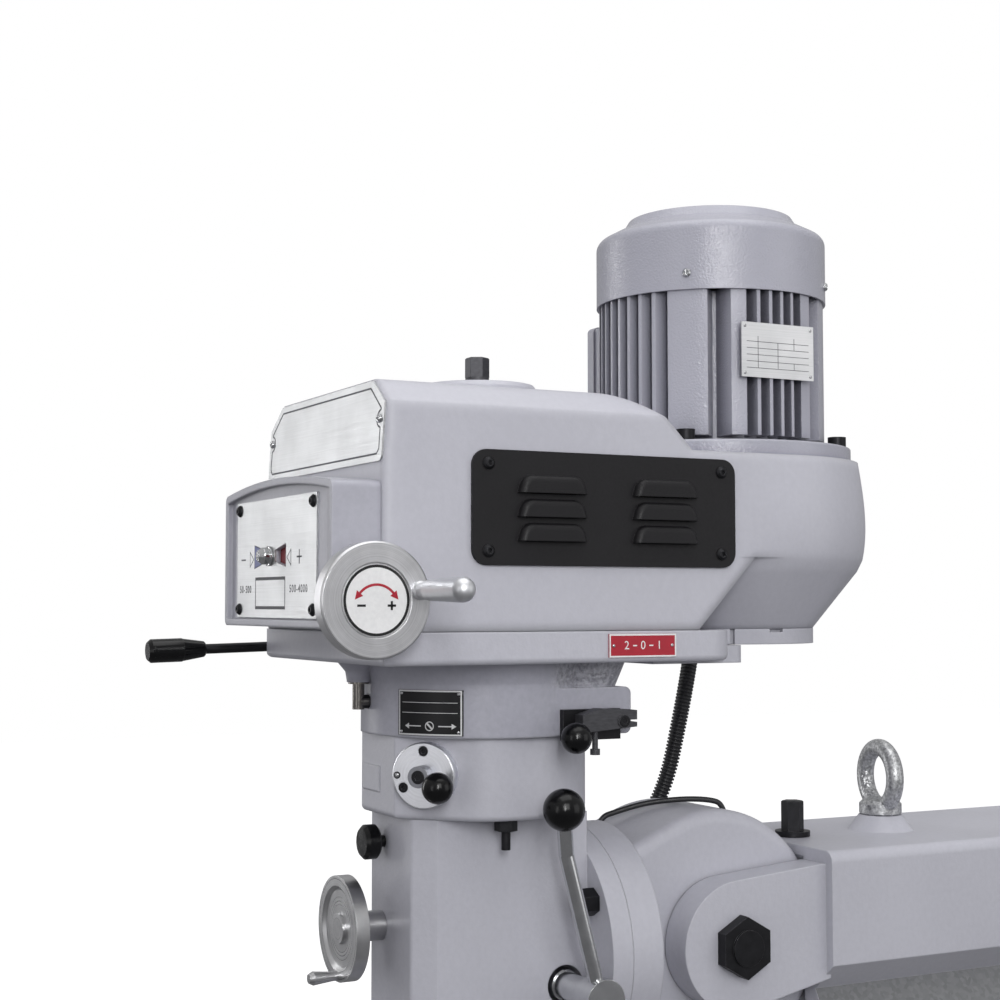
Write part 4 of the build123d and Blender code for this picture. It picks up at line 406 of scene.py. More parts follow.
# Turning marks are about 0.2 mm apart; they are drawn at 1 to 2 mm so that they show.
def turned_metal(name, shade, light, centre_mm, axis_mask, ring_mm, gloss):
    """Lathe-turned metal: rings about the piece's own axis, in tone and in gloss."""
    material, tree, shader, place = new_finish(name, Metallic=1.0)
    out = add(tree, "ShaderNodeVectorMath", {0: place, 1: [c * mm for c in centre_mm]}, operation="SUBTRACT")
    plane = add(tree, "ShaderNodeVectorMath", {0: out, 1: axis_mask}, operation="MULTIPLY")
    radius = add(tree, "ShaderNodeVectorMath", {0: plane}, operation="LENGTH")
    rings = add(tree, "ShaderNodeTexNoise", {"W": radius, "Scale": 1 / (ring_mm * mm), "Detail": 4.0},
                noise_dimensions="1D")
    smear = add(tree, "ShaderNodeTexNoise", {"Vector": place, "Scale": 1 / (18 * mm), "Detail": 3.0})
    both = add(tree, "ShaderNodeMath", {0: rings, 1: smear}, operation="ADD")
    share = add(tree, "ShaderNodeMapRange", {"Value": both, "From Min": 0.7, "From Max": 1.3})
    tone = add(tree, "ShaderNodeMix", {"Factor": share, "A": linear(shade), "B": linear(light)}, data_type="RGBA")
    haze = add(tree, "ShaderNodeMapRange", {"Value": rings, "From Min": 0.3, "From Max": 0.7,
                                            "To Min": gloss[0], "To Max": gloss[1]})
    edge = add(tree, "ShaderNodeBevel", {"Radius": 0.8 * mm}, samples=4)
    cut = add(tree, "ShaderNodeBump", {"Height": rings, "Distance": 0.02 * mm, "Normal": edge})
    connect(tree, shader, {"Base Color": tone, "Roughness": haze, "Normal": cut})
    return material


fine_wheel_centre = (-20, 0, 240)
fine_wheel_aluminium = turned_metal("turned_aluminium_fine_wheel", "#b3b3b5", "#d2d2d3", fine_wheel_centre, (1, 0, 1),
                                    1.6, (0.26, 0.42))
paint(fine_wheel_aluminium, "fine_feed_wheel")


# Gear housing: the round iron casting over the back gears. Its right rear boss was
# left rough from the sand mould under the paint; the rest was filled smooth.

rough_enamel = enamel_on_casting("grey_enamel_on_sand_cast_iron", "#a3a3ae", "#adadb8", 3.0)
rough_centre = (0.088, 0.070, 0.462)
rough_reach = 56 * mm
rough_core = 44 * mm
rough_foot = 446 * mm
rough_start = 451 * mm
tree = rough_enamel.node_tree
shader = tree.nodes["Principled BSDF"]
place = add(tree, "ShaderNodeTexCoord").outputs["Object"]
away = add(tree, "ShaderNodeVectorMath", {0: place, 1: rough_centre}, operation="DISTANCE")
ball = add(tree, "ShaderNodeMapRange", {"Value": away, "From Min": rough_reach, "From Max": rough_core})
rise = add(tree, "ShaderNodeSeparateXYZ", {"Vector": place}).outputs["Z"]
above = add(tree, "ShaderNodeMapRange", {"Value": rise, "From Min": rough_foot, "From Max": rough_start})
near = add(tree, "ShaderNodeMath", {0: ball, 1: above}, operation="MULTIPLY")
sand = add(tree, "ShaderNodeTexNoise", {"Vector": place, "Scale": 1 / (4 * mm), "Detail": 4.0, "Roughness": 0.6})
pits = add(tree, "ShaderNodeBump", {"Height": sand, "Distance": 4.5 * mm, "Strength": near,
                                    "Normal": shader.inputs["Normal"].links[0].from_socket})
# Painted light and shade on the rough boss: the hollows of the noise that raises it are painted darker, its proud
# lumps paler.
proud_share = add(tree, "ShaderNodeMapRange", {"Value": sand, "From Min": 0.36, "From Max": 0.62})
pit_light_and_shade = add(tree, "ShaderNodeMix", {"Factor": proud_share, "A": linear("#9898a2"), "B": linear("#cacad2")},
                data_type="RGBA")
lit_and_shaded_boss = add(tree, "ShaderNodeMix", {"Factor": near, "A": shader.inputs["Base Color"].links[0].from_socket,
                                     "B": pit_light_and_shade}, data_type="RGBA")
connect(tree, shader, {"Base Color": lit_and_shaded_boss, "Normal": pits})
paint(rough_enamel, "gear_housing")


# Feed hub and lever: a ground steel boss held by three sunk screws on the angled
# face of the head, with a short steel lever that ends in a ball.

feed_centre = (56.7, -74.7, 376)
feed_rings = (1, 1, 1)
# Facing leaves faint pale rings on the hub. The lever is of darker, duller bar.
hub_steel = turned_metal("faced_steel_feed_hub", "#d8d9de", "#e9eaef", feed_centre, feed_rings, 1.4, (0.3, 0.4))
paint(hub_steel, "feed_hub")
lever_steel = turned_metal("turned_steel_feed_lever", "#84858b", "#9d9ea4", feed_centre, feed_rings, 1.2,
                           (0.34, 0.46))
paint(lever_steel, "feed_lever")


# Feed plate: thin black anodised aluminium bent round the gear housing, with its
# border and pictogram left bright. It is held by four small rivets.

# Anodising dyes the metal but keeps its cold sheen; etching bares it again in pale lines.
anodised = clouded("black_anodised_aluminium", "#08080a", "#19191c", 10, 4.0, (0.3, 0.48), Metallic=0.3)
paint(anodised, "feed_plate")
bright_line = clouded("bared_aluminium_line", "#c9cacb", "#e6e6e7", 1.5, 3.0, (0.4, 0.6), Metallic=0.7)

inlay_sink = -0.04 * mm
inlay_rise = 0.1 * mm


def stroke(points, width, closed=False):
    """Quads of one even line along 2-D points, mitred at its corners, in millimetres."""
    count = len(points)
    rails = []
    for i, (x, y) in enumerate(points):
        before = points[i - 1] if i or closed else None
        after = points[(i + 1) % count] if i < count - 1 or closed else None
        ways = []
        for a, b in ((before, (x, y)), ((x, y), after)):
            if a and b:
                way = Vector((b[0] - a[0], b[1] - a[1]))
                if way.length > 1e-9:
                    ways.append(way.normalized())
        mean = sum(ways, Vector((0, 0))).normalized()
        side = Vector((-mean.y, mean.x))
        half = width / 2 / max(0.4, side.dot(Vector((-ways[0].y, ways[0].x))))
        rails.append(((x + side.x * half, y + side.y * half), (x - side.x * half, y - side.y * half)))
    last = count if closed else count - 1
    return [[rails[i][0], rails[i][1], rails[(i + 1) % count][1], rails[(i + 1) % count][0]] for i in range(last)]


def round_points(x, y, radius, count=40, start=0.0, sweep=360.0):
    """Points of a circle, or of an arc when the sweep is less than a turn."""
    steps = count if abs(sweep) >= 360 else count - 1
    angles = [math.radians(start + sweep * k / steps) for k in range(count)]
    return [(x + radius * math.cos(a), y + radius * math.sin(a)) for a in angles]


def inlay(name, place, shapes, material, body):
    """Thin raised marks: each closed 2-D outline becomes a low prism on the plate."""
    vertices = []
    faces = []
    for shape in shapes:
        first = len(vertices)
        count = len(shape)
        for height in (inlay_sink, inlay_rise):
            vertices += [place(x, y, height) for x, y in shape]
        faces.append([first + k for k in reversed(range(count))])
        faces.append([first + count + k for k in range(count)])
        faces += ring_faces(2, count, first)
    return new_piece(name, vertices, faces, material, body, smooth=False)


def rivets(name, place, points, radius, material, body):
    """Small domed rivet heads set on a plate."""
    vertices = []
    faces = []
    profile = [(1.0, -0.02), (1.0, 0.18), (0.82, 0.4), (0.45, 0.55)]
    crown = 0.6
    sides = 16
    for x, y in points:
        first = len(vertices)
        for share, height in profile:
            vertices += [place(px, py, height * radius * mm) for px, py in round_points(x, y, radius * share, sides)]
        vertices.append(place(x, y, crown * radius * mm))
        faces += ring_faces(len(profile), sides, first)
        top = first + (len(profile) - 1) * sides
        faces += [[top + k, top + (k + 1) % sides, len(vertices) - 1] for k in range(sides)]
        faces.append([first + k for k in reversed(range(sides))])
    return new_piece(name, vertices, faces, material, body)


feed_plate_radius = 104.6
feed_plate_middle = math.radians(-49)
feed_plate_low = 409.5
feed_plate_half = 29.5
feed_plate_top = 38.0
border_inset = 0.9
rule_inset = 4.0
rule_rows = (27.5, 19.0)
sign_row = 8.0
rivet_inset = 3.2


def on_feed_plate(x, y, height):
    """Point on the bent plate: x along its arc from the middle, y up from its foot."""
    angle = feed_plate_middle + x / feed_plate_radius
    radius = feed_plate_radius * mm + height
    return (radius * math.cos(angle), radius * math.sin(angle), (feed_plate_low + y) * mm)


def steps_across(inset, count):
    """Even steps along the bent plate, so that a long mark follows its curve."""
    half = feed_plate_half - inset
    return [-half + k * 2 * half / count for k in range(count + 1)]


edge_steps = steps_across(border_inset, 24)
border = [(x, border_inset) for x in edge_steps]
border += [(x, feed_plate_top - border_inset) for x in reversed(edge_steps)]
marks = stroke(border, 1.3, closed=True)
for row in rule_rows:
    marks += stroke([(x, row) for x in steps_across(rule_inset, 20)], 0.5)
marks += stroke(round_points(1, sign_row, 3.6, 28), 0.8, closed=True)
marks += stroke([(-1.2, sign_row + 2.2), (3.2, sign_row - 2.2)], 1.5)
for shaft, tip in (((-18.5, -15, -11, -7), -22.5), ((20.5, 17, 13, 9), 24.5)):
    marks += stroke([(x, sign_row) for x in sorted(shaft)], 0.9)
    half = math.copysign(2.4, tip)
    marks.append([(tip, sign_row), (shaft[0], sign_row + half), (shaft[0], sign_row - half)])
inlay("feed_plate_marks", on_feed_plate, marks, bright_line, "head")
corners = [(side * (feed_plate_half - rivet_inset), y) for side in (-1, 1)
           for y in (rivet_inset, feed_plate_top - rivet_inset)]
rivets("feed_plate_rivets", on_feed_plate, corners, 1.3, ground_steel, "head")


# Oil elbow, range bracket and range lever: the elbow is a nickelled cup on a blackened
# leg; the bracket and the clamp lever are milled from bar and blackened. A small ball
# oiler sits in the feed hub, and the pivots end in hexagon sockets.

# Nickel plate is warmer and duller than chrome, with old oil stains.
nickel = clouded("dulled_nickel_plate", "#6b6763", "#96938f", 6, 5.0, (0.16, 0.32), Metallic=1.0)
paint(nickel, "oil_elbow")
leg_start = -106.6 * mm
leg_top = 444 * mm
paint_faces(black_oxide, "oil_elbow", lambda face: face.center.y > leg_start and face.center.z < leg_top)
paint(black_oxide, "range_bracket")
# The range lever takes the paler, lit copy of the blackened steel: painted light.
paint(lit_bar_oxide, "range_lever")


def flat_place(origin_mm, across=(0, 1, 0), up=(0, 0, 1)):
    """Where marks go on a flat face: x across and y up it in millimetres, then the height off it."""
    origin = Vector(origin_mm) * mm
    across = Vector(across)
    up = Vector(up)
    out = across.cross(up)
    return lambda x, y, height: origin + across * (x * mm) + up * (y * mm) + out * height


def socket_end(name, place, radius, material, body):
    """The end of a screw or shaft with a hexagon socket, standing a little proud."""
    sides = 36
    rise = 0.7 * mm
    vertices = []
    for share, height in ((1.0, -0.1 * mm), (1.0, rise * 0.7), (0.9, rise)):
        vertices += [place(x, y, height) for x, y in round_points(0, 0, radius * share, sides)]
    hexagon = round_points(0, 0, radius * 0.55, 6)
    for height in (rise, 0.05 * mm):
        for k in range(sides):
            side, step = divmod(k, sides // 6)
            (x0, y0), (x1, y1) = hexagon[side], hexagon[(side + 1) % 6]
            share = step * 6 / sides
            vertices.append(place(x0 + (x1 - x0) * share, y0 + (y1 - y0) * share, height))
    faces = ring_faces(5, sides)
    faces.append([4 * sides + k for k in range(sides)])
    return new_piece(name, vertices, faces, material, body, smooth=False)


def on_feed_face(reach_mm):
    """Where marks go on what stands this far out from the head's angled face."""
    slant = math.sqrt(0.5)
    origin = Vector(feed_centre) + Vector((slant, -slant, 0)) * reach_mm
    return flat_place(origin, across=(slant, slant, 0))


hub_thickness = 9.0
boss_height = 21.3
range_pivot = (121.3, 80, 420)
oiler = (-23.3, 0.0)
socket_end("range_pivot_socket", flat_place(range_pivot), 5.0, black_oxide, "range")
socket_end("feed_lever_socket", on_feed_face(boss_height), 5.6, black_oxide, "feed")
rivets("feed_hub_oiler", on_feed_face(hub_thickness), [oiler], 2.1, ground_steel, "head")
# Painted shade: a dark ring round the oiler stands for the shaded gap of the hole it sits in.
inlay("feed_hub_oiler_shade_ring", on_feed_face(hub_thickness), stroke(round_points(*oiler, 2.6, 24), 0.9, closed=True),
      black_oxide, "head")


# Housing base, belt housing, pulley cover and bearing cap: aluminium castings over the
# belt drive, filled and sprayed with the same enamel as the head.

housing_enamel = enamel_on_casting("grey_enamel_on_cast_aluminium", "#b9b9c2", "#bebec7", 14.0, peel_depth_mm=0.08)
paint(housing_enamel, "belt_housing")
paint(casting_enamel, "housing_base", "pulley_cover", "bearing_cap")


# Range plate: a small enamelled aluminium plate riveted on the housing base, red with
# a white border and the lever's three places as plain numbers.

# Stoved enamel is smooth and even; screen ink lies on it a little duller.
red_enamel = clouded("red_enamelled_aluminium", "#9c1428", "#b41c31", 8, 4.0, (0.28, 0.42), IOR=1.5)
paint(red_enamel, "range_plate")
white_ink = clouded("white_screen_ink", "#dededf", "#f1f1f1", 3, 3.0, (0.35, 0.5), IOR=1.5)


def numbers(name, text, size_mm, origin, across, material, body, spread=1.0, bold=0.0):
    """Plain upright figures on a plate, centred on a point, in the built-in typeface."""
    figure = bpy.data.curves.new(name, "FONT")
    figure.body = text
    figure.size = size_mm * mm
    figure.space_character = spread
    figure.align_x = "CENTER"
    figure.align_y = "CENTER"
    figure.extrude = 0.05 * mm
    figure.offset = bold * mm
    figure.materials.append(material)
    piece = bpy.data.objects.new(name, figure)
    bpy.context.scene.collection.objects.link(piece)
    across = Vector(across)
    up = Vector((0, 0, 1))
    piece.matrix_world = Matrix((across, up, across.cross(up))).transposed().to_4x4()
    piece.location = origin
    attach(piece, body)


def box_points(x0, y0, x1, y1):
    """Corners of a rectangle."""
    return [(x0, y0), (x1, y0), (x1, y1), (x0, y1)]


figure_lift = 0.03 * mm
range_corner = (138.6, 55.0, 474.5)
range_width = 66.0
range_height = 19.5
range_row = range_height / 2
edge_inset = 0.7
on_range_plate = flat_place(range_corner)
border = box_points(edge_inset, edge_inset, range_width - edge_inset, range_height - edge_inset)
inlay("range_plate_border", on_range_plate, stroke(border, 1.3, closed=True), white_ink, "head")
for figure, x in (("2", 17.0), ("0", 33.0), ("1", 49.0)):
    numbers(f"range_number_{figure}", figure, 10.0, on_range_plate(x, range_row, figure_lift), (0, 1, 0), white_ink,
            "head")
dashes = stroke([(23, range_row), (27, range_row)], 1.1) + stroke([(39, range_row), (43, range_row)], 1.1)
inlay("range_plate_dashes", on_range_plate, dashes, white_ink, "head")
ends = [(4.2, range_row), (range_width - 4.2, range_row)]
rivets("range_plate_rivets", on_range_plate, ends, 1.5, ground_steel, "head")


# Pulleys and belt inside the housing: die-cast aluminium discs that open and close on
# the hub and on the motor shaft, with a wide moulded rubber belt between them.

# Die-cast aluminium turns to a grey, half dull face.
pulley_metal = turned_metal("turned_cast_aluminium_pulley", "#8f9092", "#b4b5b6", (0, 0, 0), (1, 1, 0), 2.0,
                            (0.32, 0.5))
paint(pulley_metal, "spindle_disc_fixed", "spindle_disc_sliding", "motor_disc_fixed", "motor_disc_sliding")
# Belt rubber is matt, with the faint lines of the cords under its skin.
rubber = clouded("black_belt_rubber", "#121213", "#28282a", 2, 3.0, (0.6, 0.8), stretch=(0.12, 0.12, 1), IOR=1.52)

# The belt's back runs round both pulleys; moulded cogs on its inside let it bend. It is
# nipped thinner as either pair of discs closes on it.
big_radius = 86.0
small_radius = 66.0
shaft_distance = 252.0
belt_half_back = 21.6
belt_side_slope = math.tan(math.radians(13))
cog_count = 80
cog_steps = [(0.0, 8.0), (0.36, 8.0), (0.46, 13.0), (0.9, 13.0)]
lean = math.asin((big_radius - small_radius) / shaft_distance)
run = shaft_distance * math.cos(lean)
small_arc = small_radius * (math.pi - 2 * lean)
big_arc = big_radius * (math.pi + 2 * lean)
belt_length = 2 * run + small_arc + big_arc
belt_low, belt_high = (corner[2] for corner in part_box("drive_belt"))
belt_level = (belt_low + belt_high) / 2


def on_belt_back(way):
    """Centre, radius and outward angle of the belt's back at a distance along it."""
    if way < run:
        share = way / run
        return share * shaft_distance, big_radius + (small_radius - big_radius) * share, lean
    way -= run
    if way < small_arc:
        return shaft_distance, small_radius, lean + way / small_radius
    way -= small_arc
    if way < run:
        share = 1 - way / run
        return share * shaft_distance, big_radius + (small_radius - big_radius) * share, math.pi - lean
    return 0.0, big_radius, math.pi - lean + (way - run) / big_radius


vertices = []
for cog in range(cog_count):
    for share, depth in cog_steps:
        centre, radius, angle = on_belt_back((cog + share) * belt_length / cog_count)
        for inset, side in ((0.0, 1), (0.0, -1), (depth, -1), (depth, 1)):
            reach = radius - inset
            half = belt_half_back - inset * belt_side_slope
            vertices.append((reach * math.cos(angle) * mm, (centre + reach * math.sin(angle)) * mm,
                             belt_level + side * half * mm))
stations = cog_count * len(cog_steps)
faces = [[corner % len(vertices) for corner in face] for face in ring_faces(stations + 1, 4)]
belt = new_piece("cogged_drive_belt", vertices, faces, rubber, "head", smooth=False)
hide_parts("drive_belt")
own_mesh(belt)


# Vent covers: pressed steel plates with six louvres, powder coated satin black and held
# by four black button screws. The powder melts to a fine, even leather.

powder, tree, shader, place = new_finish("satin_black_powder_coat", IOR=1.5, Specular_IOR_Level=0.3)
drift = add(tree, "ShaderNodeTexNoise", {"Vector": place, "Scale": 1 / (40 * mm), "Detail": 3.0})
tone = add(tree, "ShaderNodeMix", {"Factor": drift, "A": linear("#141315"), "B": linear("#1b1a1d")}, data_type="RGBA")
melt = add(tree, "ShaderNodeTexNoise", {"Vector": place, "Scale": 1 / (2.2 * mm), "Detail": 3.0})
dull = add(tree, "ShaderNodeMapRange", {"Value": melt, "From Min": 0.3, "From Max": 0.7,
                                        "To Min": 0.42, "To Max": 0.56})
edge = add(tree, "ShaderNodeBevel", {"Radius": 1.0 * mm}, samples=4)
skin = add(tree, "ShaderNodeBump", {"Height": melt, "Distance": 0.08 * mm, "Normal": edge})
connect(tree, shader, {"Base Color": tone, "Roughness": dull, "Normal": skin})
paint(powder, "vent_covers")
paint(black_oxide, "black_screws")


# Front plate: brushed aluminium sheet, laser cut, with a filled line engraved inside
# its edge that steps in round the two bright screws. Its face is left bare.

# Brush marks are about 0.1 mm apart; they are drawn at 1 mm so that they show.
brush_mm = 1.0


def brushed_sheet(name, shade, light):
    """Aluminium sheet rubbed one way: fine even scratches that stretch the highlights."""
    material, tree, shader, place = new_finish(name, Metallic=1.0)
    along = add(tree, "ShaderNodeMapping", {"Vector": place, "Scale": (12, 12, 1 / (brush_mm * mm))})
    hair = add(tree, "ShaderNodeTexNoise", {"Vector": along, "Scale": 1.0, "Detail": 4.0})
    smear = add(tree, "ShaderNodeTexNoise", {"Vector": place, "Scale": 1 / (45 * mm), "Detail": 3.0})
    both = add(tree, "ShaderNodeMath", {0: hair, 1: smear}, operation="ADD")
    share = add(tree, "ShaderNodeMapRange", {"Value": both, "From Min": 0.75, "From Max": 1.25})
    tone = add(tree, "ShaderNodeMix", {"Factor": share, "A": linear(shade), "B": linear(light)}, data_type="RGBA")
    haze = add(tree, "ShaderNodeMapRange", {"Value": hair, "From Min": 0.3, "From Max": 0.7,
                                            "To Min": 0.34, "To Max": 0.5})
    scratch = add(tree, "ShaderNodeBump", {"Height": hair, "Distance": 0.02 * mm})
    connect(tree, shader, {"Base Color": tone, "Roughness": haze, "Normal": scratch})
    return material


# Painted shade: the front and speed plates take a darker copy of the brushed sheet than the rating plate, so that the
# left front strip's reflection does not burn them out.
shaded_brushed_front = brushed_sheet("shaded_brushed_aluminium_sheet", "#bcbdbe", "#d0d1d2")
paint(shaded_brushed_front, "front_plate", "speed_plate")
paint(chrome, "plate_screws")
# The engraving is filled with matt dark paint.
filled_line = clouded("dark_engraving_fill", "#3f3f44", "#5c5c62", 2, 3.0, (0.5, 0.7), IOR=1.5)

front_lean = math.radians(3.6)
front_thickness = 1.6
front_out = Vector((0, -math.cos(front_lean), math.sin(front_lean)))
front_foot = Vector((0, -149, 625.5)) + front_out * front_thickness
on_front_plate = flat_place(front_foot, across=(1, 0, 0), up=(0, math.sin(front_lean), math.cos(front_lean)))
front_half, front_low, front_top = 133.5, 6.7, 73.15
line_inset = 6.0
line_half = front_half - line_inset
line_low = front_low + line_inset
line_top = front_top - line_inset
screw_level = 40.7
notch = 6.5
right = [(line_half - 4, line_low), (line_half, line_low + 4), (line_half, screw_level - notch - 1)]
right += round_points(line_half - 1, screw_level, notch, 9, 262, -164)
right += [(line_half, screw_level + notch + 1), (line_half, line_top - 18), (line_half - 24, line_top)]
outline = right + [(-x, y) for x, y in reversed(right)]
inlay("front_plate_line", on_front_plate, stroke(outline, 1.5, closed=True), filled_line, "head")


# Speed box, speed plate and dial: an open-fronted casting in grey enamel with a brushed
# plate in its recess. A two-colour disc turns behind the windows beside the bright nut.

box_enamel = enamel_on_casting("grey_enamel_on_box_casting", "#a9a9b3", "#b0b0ba", 3.0)
paint(box_enamel, "speed_box")

dial_x = -20.0
dial_z = 560.0
nut_limit = -186.0 * mm
blues = ("#3c4788", "#5d69a8")
reds = ("#7c1f24", "#9c343a")

# The dial's gloss enamel is blue on its low half and red on its high half.
dial_paint, tree, shader, place = new_finish("two_colour_dial_enamel", IOR=1.5)
along = add(tree, "ShaderNodeSeparateXYZ", {"Vector": place}).outputs["X"]
side = add(tree, "ShaderNodeMath", {0: along, 1: dial_x * mm}, operation="GREATER_THAN")
wear = add(tree, "ShaderNodeTexNoise", {"Vector": place, "Scale": 1 / (4 * mm), "Detail": 4.0})
halves = [add(tree, "ShaderNodeMix", {"Factor": wear, "A": linear(shade), "B": linear(light)}, data_type="RGBA")
          for shade, light in (blues, reds)]
tone = add(tree, "ShaderNodeMix", {"Factor": side, "A": halves[0], "B": halves[1]}, data_type="RGBA")
haze = add(tree, "ShaderNodeMapRange", {"Value": wear, "To Min": 0.3, "To Max": 0.46})
connect(tree, shader, {"Base Color": tone, "Roughness": haze})
paint(dial_paint, "speed_dial")
paint_faces(chrome, "speed_dial", lambda face: face.center.y < nut_limit)

speed_face = -187.6
on_speed_plate = flat_place((0, speed_face, 0), across=(1, 0, 0))
sign_level = dial_z - 2
marks = []
for side in (-1, 1):
    tip = dial_x + side * 42.5
    back = dial_x + side * 52
    marks += stroke([(tip, sign_level), (back, sign_level + 6.5), (back, sign_level - 6.5)], 0.9, closed=True)
marks += [box_points(-57.5, 539.5, 18.5, 542.2), box_points(-57.5, 514.6, 18.5, 517.3)]
marks += [box_points(-57.5, 517.3, -56.3, 539.5), box_points(17.3, 517.3, 18.5, 539.5)]
marks += stroke([(-96, sign_level), (-84, sign_level)], 1.4)
marks += stroke([(46, sign_level), (58, sign_level)], 1.4) + stroke([(52, sign_level - 6), (52, sign_level + 6)], 1.4)
inlay("speed_plate_marks", on_speed_plate, marks, filled_line, "head")

# The low window shows the dial's blue half flush in the plate, with a dark edge.
blue_enamel = clouded("blue_dial_enamel", *blues, 4, 4.0, (0.3, 0.46), IOR=1.5)
window_near = dial_x - 12
window_far = dial_x - 40
low_window = [(window_far, dial_z - 10), (window_near, dial_z - 5),
              (window_near, dial_z + 5), (window_far, dial_z + 10)]
inlay("dial_low_window", on_speed_plate, [low_window], blue_enamel, "head")
inlay("dial_low_window_edge", on_speed_plate, stroke(low_window, 0.7, closed=True), filled_line, "head")
number_level = 531.6
for name, text, x in (("low", "50-500", -84.0), ("high", "500-4000", 50.0)):
    numbers(f"speed_numbers_{name}", text, 9.0, on_speed_plate(x, number_level, figure_lift), (1, 0, 0), filled_line,
            "head", spread=1.25, bold=0.12)


# Speed handwheel: turned from aluminium, with a bright bevelled rim, a white printed
# disc let into its face and a satin taper handle riveted near the rim.

wheel_centre = (0, -167.0, 522)
wheel_aluminium = turned_metal("turned_aluminium_handwheel", "#c4c4c6", "#dcdcde", wheel_centre, (0, 1, 1), 1.0,
                               (0.36, 0.42))
paint(wheel_aluminium, "speed_handwheel")
# Polishing and then handling leave a soft satin on the handle.
satin = clouded("satin_polished_aluminium", "#cdced1", "#e2e3e6", 8, 5.0, (0.36, 0.48), span=(0.3, 0.7), Metallic=1.0)
paint(satin, "handwheel_handle")
paint(white_ink, "handwheel_disc")
# Black screen ink is even, with a faint shine.
black_ink = clouded("black_screen_ink", "#0c0c0d", "#1c1c1e", 3, 3.0, (0.3, 0.45), IOR=1.5)

disc_face = 166.2
plus_row = -4
arrow_radius = 18
arrow_drop = -6
arrow_start = 40
on_wheel_disc = flat_place((disc_face, wheel_centre[1], wheel_centre[2]))
marks = stroke(round_points(0, 0, 26.3, 72), 2.2, closed=True)
marks += stroke([(-16, plus_row), (-9, plus_row)], 1.8)
marks += stroke([(9, plus_row), (16, plus_row)], 1.8) + stroke([(12.5, plus_row - 3.5), (12.5, plus_row + 3.5)], 1.8)
inlay("handwheel_disc_marks", on_wheel_disc, marks, black_ink, "speed_wheel")
arrow = stroke(round_points(0, arrow_drop, arrow_radius, 24, arrow_start, 180 - 2 * arrow_start), 2.0)
cosine = math.cos(math.radians(arrow_start))
sine = math.sin(math.radians(arrow_start))
for side in (-1, 1):
    end = Vector((arrow_radius * cosine * side, arrow_drop + arrow_radius * sine))
    way = Vector((sine * side, -cosine))
    across = Vector((-way.y, way.x)) * 3.4 * side
    arrow.append([tuple(end + across), tuple(end - across), tuple(end + way * 6.5)])
inlay("handwheel_disc_arrow", on_wheel_disc, arrow, red_enamel, "speed_wheel")


# Brake lever: a blackened steel rod on a hub at the left flank of the housing base,
# with a grip moulded on its front end.

paint(black_oxide, "brake_lever")


# Motor: a finned aluminium frame on a round flange, with a pressed steel fan cover and
# a terminal box. Its hammer-finish enamel dries in small dimples, which hide the casting
# and break each highlight into sparks; shade between the fins is painted in, darker.

# Real dimples are about 1 mm; they are drawn at 2 mm so that they show.
dimple_mm = 2.0
motor_enamel, tree, shader, place = new_finish("grey_hammer_finish_enamel", IOR=1.5)
drift = add(tree, "ShaderNodeTexNoise", {"Vector": place, "Scale": 1 / (60 * mm), "Detail": 3.0})
tone = add(tree, "ShaderNodeMix", {"Factor": drift, "A": linear("#a9a9b4"), "B": linear("#b0b0bb")}, data_type="RGBA")
# Painted shade: in the nooks between the fins and round the box, found by ambient occlusion, the tone darkens towards
# a dark grey.
nook = add(tree, "ShaderNodeAmbientOcclusion", {"Distance": 22 * mm}, samples=4).outputs["AO"]
nook_shade = add(tree, "ShaderNodeMapRange", {"Value": nook, "From Min": 0.85, "From Max": 0.25, "To Max": 0.75})
shaded_tone = add(tree, "ShaderNodeMix", {"Factor": nook_shade, "A": tone, "B": linear("#585864")}, data_type="RGBA")
gloss = add(tree, "ShaderNodeMapRange", {"Value": drift, "To Min": 0.11, "To Max": 0.21})
dimple = add(tree, "ShaderNodeTexNoise", {"Vector": place, "Scale": 1 / (dimple_mm * mm), "Detail": 2.0})
edge = add(tree, "ShaderNodeBevel", {"Radius": 1.0 * mm}, samples=4)
skin = add(tree, "ShaderNodeBump", {"Height": dimple, "Distance": 0.5 * mm, "Normal": edge})
connect(tree, shader, {"Base Color": shaded_tone, "Roughness": gloss, "Normal": skin})
paint(motor_enamel, "motor_flange", "motor_frame", "fan_cover", "terminal_box")

# The cores are stacked from thin oiled sheets, so fine dark lines run round them. The
# sheets are 0.5 mm; they are drawn at 1.5 mm so that they show.
lamination = clouded("stacked_electrical_steel", "#4c4a48", "#77746f", 1.5, 2.0, (0.4, 0.6),
                     stretch=(0.0075, 0.0075, 1), Metallic=0.9)
paint(lamination, "stator", "motor_rotor")
paint(nylon, "cooling_fan")


# Rating plate: thin aluminium on the motor's ribs, ruled in dark lines and left blank,
# with a rivet in each corner.

# The rating plate keeps the brushed sheet's paler tone; the front plates' copy is darkened as painted shade.
brushed_rating = brushed_sheet("brushed_aluminium_rating_sheet", "#dadbdc", "#efeff0")
paint(brushed_rating, "rating_plate")
rating_corner = (109.1, 212.0, 724.0)
rating_width = 80.0
rating_height = 50.0
rating_rows = (8.5, 14.5, 20.5, 26.5, 32.5)
rating_columns = ((18, 8.5, 37.5), (40, 8.5, 32.5), (58, 8.5, 14.5), (58, 26.5, 37.5))
row_inset = 5.5
corner_inset = 3.6
on_rating_plate = flat_place(rating_corner)
rules = [[(row_inset, y), (rating_width - row_inset, y)] for y in rating_rows]
rules += [[(x, low), (x, high)] for x, low, high in rating_columns]
marks = [quad for rule in rules for quad in stroke(rule, 0.5)]
inlay("rating_plate_rules", on_rating_plate, marks, filled_line, "head")
corners = [(x, y) for x in (corner_inset, rating_width - corner_inset)
           for y in (corner_inset, rating_height - corner_inset)]
rivets("rating_plate_rivets", on_rating_plate, corners, 1.5, ground_steel, "head")


